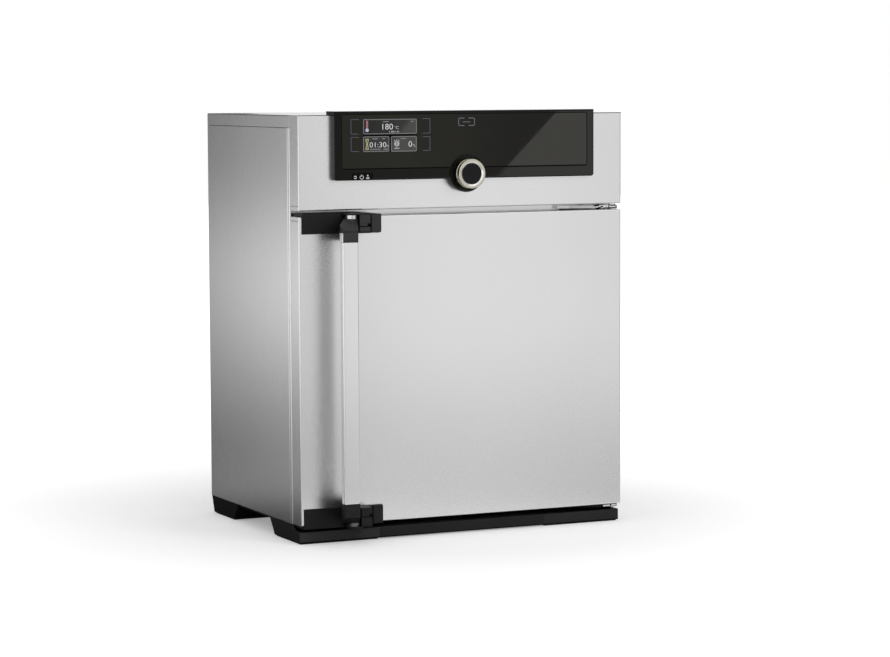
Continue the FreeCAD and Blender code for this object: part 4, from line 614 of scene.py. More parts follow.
def board_green(look):
    """Circuit board: solder mask over copper tracks, pale pads."""
    material, tree, shader = new_material("board_green")
    near, far = (add_node(tree, "ShaderNodeTexVoronoi", {"Vector": own_place(tree), "Scale": 180.0},
                          feature=feature, distance="CHEBYCHEV").outputs["Distance"]
                 for feature in ("F1", "F2"))
    line = below(tree, calculate(tree, "SUBTRACT", far, near), 0.10, 0.06)
    pads = ranged(tree, near, 0.10, 0.07)
    body = between(tree, line, (0.010, 0.085, 0.035), (0.016, 0.14, 0.06))
    body = between(tree, pads, body, (0.60, 0.58, 0.50))
    dress(tree, shader, body, ranged(tree, pads, 0.0, 1.0, 0.42, 0.28), line, 0.00003)
    return material


def wire_sleeve(look):
    """Braided sleeve over a bundle of wires."""
    material, tree, shader = new_material("wire_sleeve")
    strands = [add_node(tree, "ShaderNodeTexWave",
                        {"Vector": own_place(tree, scale=(side, 1.0, 1.0)), "Scale": 160.0},
                        wave_type="BANDS", bands_direction="DIAGONAL").outputs["Fac"]
               for side in (1.0, -1.0)]
    weave = calculate(tree, "MAXIMUM", *strands)
    dress(tree, shader, between(tree, weave, (0.012, 0.012, 0.014), (0.075, 0.075, 0.08)),
          ranged(tree, weave, 0.0, 1.0, 0.75, 0.55), weave, 0.0003)
    return material


def mineral_wool(look):
    """Layered mineral fibre."""
    material, tree, shader = new_material("mineral_wool")
    layers = noise(tree, own_place(tree, scale=(1.0, 1.0, 7.0)), 40.0, detail=8.0, roughness=0.7)
    along = own_place(tree, scale=(0.2, 1.0, 1.0), turn=(0.3, 0.2, 0.4))
    fibres = noise(tree, along, 900.0, detail=4.0)
    mixed = calculate(tree, "MULTIPLY_ADD", layers, 0.6, calculate(tree, "MULTIPLY", fibres, 0.4))
    body = between(tree, ranged(tree, mixed, 0.3, 0.7), (0.30, 0.27, 0.17), (0.62, 0.58, 0.42))
    dress(tree, shader, body, ranged(tree, fibres, 0.0, 1.0, 0.85, 0.98), mixed, 0.002)
    return material


def lit_print(name, colour, glow):
    """Ink or lit segment under the gloss of the glass."""
    material, tree, shader = new_material(name)
    cells = noise(tree, own_place(tree), 2500.0, detail=1.0)
    body = between(tree, ranged(tree, cells, 0.3, 0.7), tinted(colour, 0.88), colour)
    dress(tree, shader, body, ranged(tree, cells, 0.0, 1.0, 0.05, 0.09), cells, 0.000002,
          Emission_Color=body, Emission_Strength=glow, IOR=1.33)
    return material


def tile_face(colour):
    """Readout tile: dark at the left, lighter to the right, with a slanting band of painted sheen.
    """
    material, tree, shader = new_material("tile_face")
    place = parted(tree, centre=TILE_CENTRE)
    slant = calculate(tree, "SUBTRACT", place["X"], calculate(tree, "MULTIPLY", place["Z"], 0.9))
    across = ranged(tree, place["X"], -0.055, 0.02, 0.0, 0.35)
    low = ranged(tree, place["Z"], -0.012, -0.016, 0.0, 0.4)
    # The slanting band is a painted sheen; the lighter right and lower parts are the tile's own
    # fill.
    painted_sheen_band = calculate(tree, "MULTIPLY", ranged(tree, slant, -0.004, 0.008), 0.65)
    print_and_painted_sheen = calculate(tree, "ADD", painted_sheen_band, calculate(tree, "MAXIMUM", across, low), clamp=True)
    pixels = noise(tree, own_place(tree), 2200.0, detail=1.0)
    body = between(tree, ranged(tree, pixels, 0.3, 0.7), tinted(colour, 0.85), colour)
    body = between(tree, print_and_painted_sheen, body, tinted(colour, 4.2))
    dress(tree, shader, body, ranged(tree, pixels, 0.0, 1.0, 0.04, 0.08), pixels, 0.000001,
          Emission_Color=body, Emission_Strength=0.45, IOR=1.30)
    return material


# A finish is the name of a plain one or the function that makes it
SLOT_FINISHES = {
    "satin_steel": sheet_steel, "zinc_steel": zinc_steel, "chamber_steel": "bright_steel",
    "turned_steel": "turned_steel", "heater_sheath": "heater_sheath",
    "black_moulding": "black_moulding", "grey_moulding": "grey_moulding",
    "bearing_plastic": "bearing_plastic", "knob_metal": knob_metal, "button_face": button_face,
    "dark_glass": dark_glass, "display": display_cell, "board": board_green,
    "wire_sleeve": wire_sleeve, "pad_rubber": "pad_rubber", "seal_rubber": "seal_rubber",
    "wool": mineral_wool,
}
NODE_FINISHES = {
    "control_housing": "housing_moulding", "power_button": "key_moulding", "handle_bar": bar_steel,
    "foot_front_left": foot_moulding, "foot_front_right": foot_moulding,
    "plinth_strip": strip_moulding, "foot_rear_left": "rear_foot_moulding",
    "foot_rear_right": "rear_foot_moulding", "base_tray": "dark_coat",
    "hinge_bracket_bottom": "dark_coat", "handle_cap_top": upper_cap,
    "handle_cap_bottom": lower_cap, "latch_lever_bottom": "dull_steel",
    "handle_pin_bottom": "dull_steel",
}


# Mesh work

def start_clean():
    """Object mode with nothing selected."""
    if bpy.context.object and bpy.context.object.mode != "OBJECT":
        bpy.ops.object.mode_set(mode="OBJECT")
    bpy.ops.object.select_all(action="DESELECT")


def only(piece):
    """Selects one piece and makes it active."""
    start_clean()
    piece.select_set(True)
    bpy.context.view_layer.objects.active = piece


def removed(piece):
    """Deletes a piece that only helped."""
    only(piece)
    bpy.ops.object.delete()


def settled(name, piece):
    """Names a piece and puts its place into its mesh."""
    piece.name = name
    piece.data.name = name
    only(piece)
    bpy.ops.object.transform_apply(location=True, rotation=True, scale=True)
    return piece


def select_parts(piece, mode, wanted):
    """In edit mode, selects the edges or faces that pass a test."""
    only(piece)
    bpy.ops.object.mode_set(mode="EDIT")
    bpy.ops.mesh.select_mode(type=mode)
    bpy.ops.mesh.select_all(action="DESELECT")
    mesh = bmesh.from_edit_mesh(piece.data)
    for part in mesh.edges if mode == "EDGE" else mesh.faces:
        part.select_set(wanted(part))
    bmesh.update_edit_mesh(piece.data)


def bevelled(piece, wanted, offset, segments):
    """Bevels the edges that pass a test."""
    select_parts(piece, "EDGE", wanted)
    bpy.ops.mesh.bevel(offset=offset, segments=segments, affect="EDGES")
    bpy.ops.object.mode_set(mode="OBJECT")
    return piece


def inset_front(piece, width, inner, **how):
    """Insets the front faces. They get one of two materials, all other faces the other one."""
    select_parts(piece, "FACE", lambda part: part.normal.y < -0.9)
    bpy.ops.mesh.inset(thickness=width * MM, **how)
    mesh = bmesh.from_edit_mesh(piece.data)
    for part in mesh.faces:
        part.material_index = inner if part.select else 1 - inner
    bmesh.update_edit_mesh(piece.data)
    bpy.ops.object.mode_set(mode="OBJECT")


def plate(name, left, right, bottom, top, front, depth, corner=0.3):
    """A thin plate that faces the front, in millimetres across, with rounded corners."""
    start_clean()
    centre = Vector(((left + right) / 2 * MM, front + depth / 2, (bottom + top) / 2 * MM))
    bpy.ops.mesh.primitive_cube_add(size=1.0, location=centre,
                                    scale=((right - left) * MM, depth, (top - bottom) * MM))
    return bevelled(settled(name, bpy.context.object),
                    lambda edge: abs((edge.verts[0].co - edge.verts[1].co).y) > depth / 2,
                    corner * MM, segments=5)


def disc(name, x, z, radius, front, depth, sides=32):
    """A round plate that faces the front, in millimetres across."""
    start_clean()
    bpy.ops.mesh.primitive_cylinder_add(vertices=sides, radius=radius * MM, depth=depth,
                                        location=(x * MM, front + depth / 2, z * MM),
                                        rotation=(math.pi / 2, 0.0, 0.0))
    return bevelled(settled(name, bpy.context.object),
                    lambda edge: all(end.co.y < front + depth / 4 for end in edge.verts),
                    depth * 0.4, segments=2)


def joined(name, pieces):
    """Joins pieces into one."""
    start_clean()
    for piece in pieces:
        piece.select_set(True)
    bpy.context.view_layer.objects.active = pieces[0]
    if len(pieces) > 1:
        bpy.ops.object.join()
    return settled(name, bpy.context.object)


def bars(name, spans, front, depth, corner=0.3):
    """Plates of one depth, each given by left, right, bottom and top, joined into one piece."""
    return joined(name, [plate("bar", *span, front, depth, corner) for span in spans])


def copied(piece, place, scale=(1.0, 1.0, 1.0)):
    """A copy with a mesh of its own, scaled and moved."""
    only(piece)
    bpy.ops.object.duplicate(linked=False)
    copy = bpy.context.object
    copy.scale = scale
    copy.location = place
    return settled(piece.name, copy)


def carried(piece, body, slot, *materials):
    """Gives a piece its materials and its body; the slot is not used."""
    for material in materials:
        piece.data.materials.append(material)
    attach(piece, body)


def lettering(words, left, right, bottom, top, front, depth):
    """Characters as a thin mesh that fills a box on the front, in millimetres."""
    start_clean()
    bpy.ops.object.text_add(rotation=(math.pi / 2, 0.0, 0.0))
    letters = bpy.context.object.data
    letters.body = words
    letters.extrude = 0.02
    letters.offset = -0.012
    bpy.ops.object.convert(target="MESH")
    piece = settled("words", bpy.context.object)
    places = [vertex.co for vertex in piece.data.vertices]
    low, high = (Vector([pick(place[axis] for place in places) for axis in range(3)])
                 for pick in (min, max))
    target = Vector(((right - left) * MM, depth, (top - bottom) * MM))
    factors = [wanted / made for wanted, made in zip(target, high - low)]
    piece.scale = factors
    corner = Vector((left * MM, front, bottom * MM))
    piece.location = corner - Vector([number * factor for number, factor in zip(low, factors)])
    return settled("words", piece)


def oriented(piece, right, up, back, place):
    """Turns a lamp or a camera to three axes and puts it in its place."""
    rows = [(*row, number) for row, number in zip(zip(right, up, back), place)]
    piece.matrix_world = Matrix((*rows, (0.0, 0.0, 0.0, 1.0)))


# Operators

class OVEN_OT_finishes(bpy.types.Operator):
    """Give every built piece its own finish"""
    bl_idname = "oven.finishes"
    bl_label = "Finish the Built Pieces"

    def execute(self, context):
        look = context.scene.oven_finishes
        edge_wear_and_light_group()
        grain_group()
        dust_group()
        plain(look, "groove_black")
        made = {}
        for entry in frame["record"]["subparts"]:
            maker = NODE_FINISHES.get(entry["node"]) or SLOT_FINISHES[entry["material_slot"]]
            if maker not in made:
                made[maker] = plain(look, maker) if isinstance(maker, str) else maker(look)
            mesh = NODES[entry["node"]].data
            mesh.materials.clear()
            mesh.materials.append(made[maker])
        return {"FINISHED"}


class OVEN_OT_tiles(bpy.types.Operator):
    """Model the three readout tiles and the bracket lines beside them"""
    bl_idname = "oven.tiles"
    bl_label = "Readout Tiles"

    def execute(self, context):
        settings = context.scene.oven_readouts
        depth = settings.proud
        front = GLASS_FRONT - depth
        backing = plate("tile_backing", -184.4, -90.8, 632.9, 684.4, GLASS_FRONT - depth / 2,
                        depth / 2, corner=2.0)
        carried(backing, "cabinet", "display", bpy.data.materials["groove_black"])
        face = tile_face(settings.tile_colour)
        border = lit_print("tile_border", settings.line_colour, 0.35)
        for name, *span in (("tile_temperature", -184.7, -90.2, 660.8, 685.0),
                            ("tile_time", -184.9, -139.2, 632.6, 657.3),
                            ("tile_flap", -135.9, -90.5, 632.4, 657.2)):
            tile = plate(name, *span, front, depth, corner=2.2)
            inset_front(tile, 1.25, inner=0)
            carried(tile, "cabinet", "display", face, border)
        spans = []
        for spine, reach, bottom, top in ((-206.0, -192.4, 661.0, 684.9),
                                          (-206.0, -192.4, 633.1, 656.5),
                                          (-66.8, -80.0, 661.2, 685.4),
                                          (-66.8, -80.0, 633.2, 656.1)):
            spans.append((spine - 0.42, spine + 0.42, bottom, top))
            spans += [(*sorted((spine, reach)), height, height + 0.8)
                      for height in (bottom, top - 0.8)]
        carried(bars("bracket_lines", spans, front, depth), "cabinet", "display",
                lit_print("bracket_lines", (0.105, 0.098, 0.135), 0.2))
        spans = [(left, right, height, height + 1.4)
                 for left, right in ((-16.0, -4.6), (2.6, 14.2)) for height in (672.4, 684.5)]
        spans += [(side, side + 1.5, 672.4, 685.9) for side in (-16.0, 12.7)]
        spans.append((-8.0, 6.0, 678.4, 679.6))
        carried(bars("field_lines", spans, front, depth), "cabinet", "display",
                lit_print("field_lines", (0.115, 0.110, 0.135), 0.2))
        return {"FINISHED"}


class OVEN_OT_digits(bpy.types.Operator):
    """Set the numbers and signs on the readout tiles"""
    bl_idname = "oven.digits"
    bl_label = "Numbers and Signs"

    def execute(self, context):
        settings = context.scene.oven_readouts
        depth = settings.proud
        front = GLASS_FRONT - 2 * depth
        ink = {name: lit_print("lit_" + name, colour, glow) for name, colour, glow in (
            ("white", (0.66, 0.67, 0.68), 0.35), ("clear", (0.56, 0.56, 0.57), 0.35),
            ("dim", (0.16, 0.16, 0.165), 0.3), ("pink", (0.30, 0.13, 0.15), 0.3),
            ("pale", (0.44, 0.46, 0.62), 0.3), ("straw", (0.42, 0.39, 0.22), 0.3),
            ("sand", (0.15, 0.14, 0.06), 0.2), ("grey", (0.36, 0.36, 0.37), 0.3))}
        numbers = ((settings.temperature, -150.9, -132.6, 668.2, 677.2),
                   (settings.time_left, -173.6, -144.6, 639.8, 647.8),
                   (settings.flap, -104.9, -98.9, 640.0, 648.8))
        signs = (("°C", -130.4, -122.0, 669.0, 673.4), ("h", -143.2, -140.8, 640.0, 644.0),
                 ("%", -97.4, -92.8, 640.0, 644.2),
                 (settings.temperature + ".0", -138.8, -121.8, 663.4, 665.8))
        for name, rows, tone in (("numbers", numbers, "white"), ("unit_signs", signs, "clear")):
            words = joined(name, [lettering(*row, front, depth) for row in rows])
            carried(words, "cabinet", "display", ink[tone])
        dashes = ((-150.0, -140.0, 680.0, 681.6), (-101.0, -96.0, 679.8, 681.6),
                  (-169.0, -159.0, 652.6, 654.2), (-151.4, -146.4, 652.6, 654.4),
                  (-119.0, -109.0, 652.6, 654.2), (-173.0, -154.0, 635.8, 637.4),
                  (-150.0, -141.6, 635.8, 637.6))
        carried(bars("units", dashes, front, depth, 0.5), "cabinet", "display", ink["dim"])
        tube = plate("thermometer_tube", -179.8, -176.2, 668.0, 682.8, front, depth, corner=1.6)
        carried(tube, "cabinet", "display", ink["pink"])
        bulb = disc("thermometer_bulb", -178.0, 667.2, 2.9, front - depth / 2, depth)
        carried(bulb, "cabinet", "display", ink["pale"])
        self.hourglass(front, depth, ink)
        sign = [
            plate("sign", -130.4, -121.0, 636.9, 638.3, front, depth, corner=0.5),
            disc("sign", -125.8, 645.0, 4.9, front, depth, sides=8),
            disc("sign", -129.4, 650.0, 1.1, front, depth, sides=16),
            disc("sign", -122.2, 650.0, 1.1, front, depth, sides=16),
            plate("sign", -126.5, -125.1, 638.0, 652.0, front, depth, corner=0.6),
        ]
        carried(joined("flap_sign", sign), "cabinet", "display", ink["grey"])
        return {"FINISHED"}

    def hourglass(self, front, depth, ink):
        """A plate drawn in at its waist, with a darker rim."""
        waist = 0.64475
        glass = plate("hourglass", -181.2, -175.0, 635.9, 653.6, front, depth, corner=1.2)
        only(glass)
        bpy.ops.object.mode_set(mode="EDIT")
        bpy.ops.mesh.select_all(action="SELECT")
        bpy.ops.mesh.bisect(plane_co=(0.0, 0.0, waist), plane_no=(0.0, 0.0, 1.0))
        bpy.ops.transform.resize(value=(0.4, 1.0, 1.0))
        bpy.ops.object.mode_set(mode="OBJECT")
        inset_front(glass, 1.1, inner=1, use_individual=True)
        carried(glass, "cabinet", "display", ink["straw"], ink["sand"])


class OVEN_OT_trims(bpy.types.Operator):
    """Model the black lines of painted shade, the covers of the latch housings and the painted
    shade grooves at the hinge arms
    """
    bl_idname = "oven.trims"
    bl_label = "Beads and Latch Covers"

    def execute(self, context):
        # Painted shade: black plates for the shaded gaps round the trims.
        groove = bpy.data.materials["groove_black"]
        frame_low, frame_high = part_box("front_frame")
        self.beads(groove)
        # Painted shade: black band under the front frame, where the door and plinth shade it.
        frame_shade = plate("frame_bead", frame_low.x / MM + 1.0, frame_high.x / MM - 1.0,
                     frame_low.z / MM - 3.0, frame_low.z / MM + 7.0, frame_low.y - COVER_PROUD,
                     COVER_DEPTH, corner=0.6)
        carried(frame_shade, "cabinet", "seal_rubber", groove)
        # Painted light: the upper covers are drawn lighter and the lower ones darker.
        for side, lit_and_shaded_tones in (("top", (3.6, 3.8)), ("bottom", (1.0, 0.9))):
            self.latch_trims(context.scene.oven_finishes, side, lit_and_shaded_tones, groove)
        self.hinge_trims(frame_low.y, groove)
        return {"FINISHED"}

    def beads(self, groove):
        """Black lines of painted shade under the cover and round the glass."""
        low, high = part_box("header_panel")
        housing_low, housing_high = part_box("control_housing")
        top = high.z / MM
        spans = [(left / MM, right / MM, top - 1.1, top - 0.1)
                 for left, right in ((low.x, housing_low.x - 0.0002),
                                     (housing_high.x + 0.0002, high.x))]
        carried(bars("cover_bead", spans, low.y - 0.00012, SHADE_LINE_DEPTH), "cabinet",
                "seal_rubber", groove)
        low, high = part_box("control_glass")
        over, width, foot_width, bite = 0.9, 1.2, 2.0, 32.5
        left, right = low.x / MM - over, high.x / MM + over
        bottom, top = low.z / MM - over, high.z / MM + over
        boss = KNOB_AXIS.x / MM
        spans = [(left, left + width, bottom, top), (right - width, right, bottom, top),
                 (left, right, top - width, top),
                 (left, boss - bite, bottom, bottom + foot_width),
                 (boss + bite, right, bottom, bottom + foot_width)]
        carried(bars("glass_bead", spans, GLASS_FRONT - 0.00004, SHADE_LINE_DEPTH), "cabinet",
                "seal_rubber", groove)

    def front_faces(self, name):
        """Left, right, bottom, top and front of the end block and of the lug of a latch housing."""
        block_reach, near_reach, lug_reach, step = 0.005, 0.030, 0.048, 0.015
        places = [vertex.co for vertex in NODES[name].data.vertices]
        end = max(place.x for place in places)
        block = [place for place in places if place.x > end - block_reach]
        front = min(place.y for place in block)
        beside = [place for place in places
                  if place.x > end - near_reach and place.y < front - step]
        lug_front = min(place.y for place in beside)
        lug = [place for place in places
               if place.x > end - lug_reach and abs(place.y - lug_front) < 0.0001]
        lug_right = max(place.x for place in lug)
        return [(left / MM, right / MM, min(place.z for place in part) / MM,
                 max(place.z for place in part) / MM, y)
                for left, right, y, part in (
                    (lug_right, end, front, block),
                    (min(place.x for place in lug), lug_right, lug_front, lug))]

    def latch_trims(self, look, side, lit_and_shaded_tones, groove):
        """Black covers on the front of a latch housing in painted light, with black plates of
        painted shade in the gaps between them.
        """
        block_face, lug_face = self.front_faces("latch_housing_" + side)
        left, right, low, high, front = block_face
        # Painted shade: black plates in the gaps round the covers.
        beside = plate("gap", left + 0.3, right - 0.8, low + 0.9, high - 0.9, front - GAP_PROUD,
                       GAP_DEPTH, corner=0.6)
        cover = plate("latch_cover_" + side, left + 9.8, right - 0.4, low + 0.6, high - 0.6,
                      front - COVER_PROUD, COVER_DEPTH, corner=0.8)
        carried(cover, "door", "black_moulding", latch_moulding_painted_light(look, "block_" + side, lit_and_shaded_tones[0]))
        left, right, low, high, front = lug_face
        backing = plate("gap", left + 0.5, right - 0.3, low + 0.5, high - 0.5,
                        front - GAP_PROUD, GAP_DEPTH, corner=0.6)
        carried(joined("latch_gap_" + side, [backing, beside]), "door", "black_moulding", groove)
        slot_edge, slot_height = 8.5, 5.0
        slot_low = low + slot_edge if side == "top" else high - slot_edge - slot_height
        slot_high = slot_low + slot_height
        spans = ((left + 0.7, right - 0.4, slot_high + 0.1, high - 0.7),
                 (left + 0.7, right - 5.4, slot_low + 1.2, slot_high + 0.4),
                 (left + 0.7, right - 0.4, low + 0.7, slot_low - 0.5))
        carried(bars("latch_panel_" + side, spans, front - COVER_PROUD, COVER_DEPTH), "door",
                "black_moulding", latch_moulding_painted_light(look, "lug_" + side, lit_and_shaded_tones[1]))

    def hinge_trims(self, frame_face, groove):
        """Black grooves and a strip of painted shade at the upper hinge arm, steel lugs on the
        lower one.
        """
        proud, depth = 0.0003, 0.004
        low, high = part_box("hinge_bracket_top")
        right, under, over = high.x / MM, low.z / MM, high.z / MM
        spans = [(right - first, right - second, bottom, top) for first, second, bottom, top in (
            (45.5, 36.5, over - 1.5, over + 1.0), (42.3, 37.6, under - 0.6, under + 1.2),
            (38.1, 33.1, under + 0.3, under + 2.3), (33.6, 29.0, under + 1.3, under + 3.5),
            (18.6, 17.0, under + 0.3, over - 0.1), (15.3, 4.8, over - 1.5, over - 0.1),
            (27.8, 2.0, under, under + 1.3))]
        # Painted shade: black grooves and strip where the hinge arm shades the gap.
        carried(bars("hinge_grooves", spans, low.y - proud, depth), "cabinet", "black_moulding",
                groove)
        strip = plate("hinge_strip", right - 96.8, right - 33.8, under - 3.7, under - 0.3,
                      frame_face - COVER_PROUD, COVER_DEPTH, corner=0.6)
        carried(strip, "cabinet", "seal_rubber", groove)
        low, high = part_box("hinge_bracket_bottom")
        right, under = high.x / MM, low.z / MM
        spans = [(right - first, right - second, under + 0.9, under + 3.5)
                 for first, second in ((28.8, 15.3), (13.2, 3.7))]
        carried(bars("hinge_lugs", spans, low.y - proud, depth, 1.0), "cabinet", "turned_steel",
                bpy.data.materials["turned_steel"])


class OVEN_OT_key_marks(bpy.types.Operator):
    """Print the three signs on the power key"""
    bl_idname = "oven.key_marks"
    bl_label = "Power Key Marks"

    def execute(self, context):
        depth = context.scene.oven_readouts.proud
        front = KEY_FRONT - depth
        middle = 592.0
        marks = [plate("mark", left, right, middle + low, middle + high, front, depth)
                 for left, right, low, high in ((-200.9, -197.2, 0.9, 2.4),
                                                (-200.9, -197.2, -2.4, -0.9),
                                                (-197.4, -196.6, -1.6, 1.6))]
        marks.append(self.ring(middle))
        marks.append(plate("mark", -188.0, -187.0, middle + 0.9, middle + 4.4, front, depth))
        marks.append(disc("mark", -177.0, middle + 2.4, 1.4, front, depth, sides=20))
        marks.append(plate("mark", -179.8, -174.2, middle - 2.8, middle - 0.4, front, depth,
                           corner=0.8))
        # The printed key marks glow a little: painted light.
        carried(joined("key_marks", marks), "power_key", "button_face",
                lit_print("key_ink", (0.62, 0.62, 0.61), 0.1))
        return {"FINISHED"}

    def ring(self, middle):
        """Flattened ring of the power symbol, open at the top."""
        flatness, opening, across = 0.3, 2.5, -0.1875
        start_clean()
        bpy.ops.mesh.primitive_torus_add(major_segments=32, minor_segments=6,
                                         major_radius=3.0 * MM, minor_radius=0.55 * MM,
                                         rotation=(math.pi / 2, 0.0, 0.0),
                                         location=(across, KEY_FRONT, middle * MM))
        ring = settled("ring", bpy.context.object)
        ring.scale = (1.0, flatness, 1.0)
        ring.location = (0.0, KEY_FRONT * (1.0 - flatness), 0.0)
        ring = settled("ring", ring)
        select_parts(ring, "FACE",
                     lambda part: part.calc_center_median().z > (middle + opening) * MM)
        bpy.ops.mesh.delete(type="FACE")
        bpy.ops.mesh.select_all(action="SELECT")
        bpy.ops.mesh.fill_holes(sides=0)
        bpy.ops.object.mode_set(mode="OBJECT")
        return ring


class OVEN_OT_screws(bpy.types.Operator):
    """Model one cross-head screw and fit copies to the rear panel and the inlet"""
    bl_idname = "oven.screws"
    bl_label = "Screws"

    def execute(self, context):
        head = self.cross_head(context.scene.oven_screws)
        steel = bpy.data.materials["turned_steel"]
        low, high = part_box("rear_panel")
        from_end, from_side, half_row, half_span = 0.012, 0.009, 0.1, 0.11
        middle = (low.z + high.z) / 2
        rows = [low.z + from_end, middle - half_span, middle + half_span, high.z - from_end]
        places = [(x, 0.0, z) for x in (low.x + from_side, high.x - from_side) for z in rows]
        places += [(x, 0.0, z) for x in (-half_row, half_row) for z in (rows[0], rows[-1])]
        screws = [copied(head, place) for place in places]
        carried(joined("rear_screws", screws), "cabinet", "turned_steel", steel)
        low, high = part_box("mains_inlet")
        middle = (low + high) / 2
        half_pitch, smaller = 0.020, (0.75, 1.0, 0.75)
        pair = [copied(head, (middle.x + offset, high.y - REAR_FACE, middle.z), smaller)
                for offset in (-half_pitch, half_pitch)]
        carried(joined("inlet_screws", pair), "cabinet", "turned_steel", steel)
        removed(head)
        return {"FINISHED"}

    def cross_head(self, settings):
        """One screw head on the rear face, with its cross recess cut in."""
        radius, height = settings.head_radius, settings.head_height
        outer = REAR_FACE + height
        start_clean()
        bpy.ops.mesh.primitive_cylinder_add(vertices=28, radius=radius, depth=height,
                                            location=(0.0, REAR_FACE + height / 2, 0.0),
                                            rotation=(math.pi / 2, 0.0, 0.0))
        head = bevelled(settled("screw", bpy.context.object),
                        lambda edge: all(corner.co.y > outer - 1e-5 for corner in edge.verts),
                        height * 0.45, segments=4)
        arm, half_width = radius * 0.62, radius * 0.13
        for half_x, half_z in ((arm, half_width), (half_width, arm)):
            start_clean()
            bpy.ops.mesh.primitive_cube_add(
                size=1.0, location=(0.0, outer, 0.0),
                scale=(2 * half_x, 2 * settings.recess_depth, 2 * half_z))
            cutter = settled("cutter", bpy.context.object)
            only(head)
            bpy.ops.object.modifier_add(type="BOOLEAN")
            cut = head.modifiers[-1]
            cut.object = cutter
            cut.operation = "DIFFERENCE"
            bpy.ops.object.modifier_apply(modifier=cut.name)
            removed(cutter)
        return head


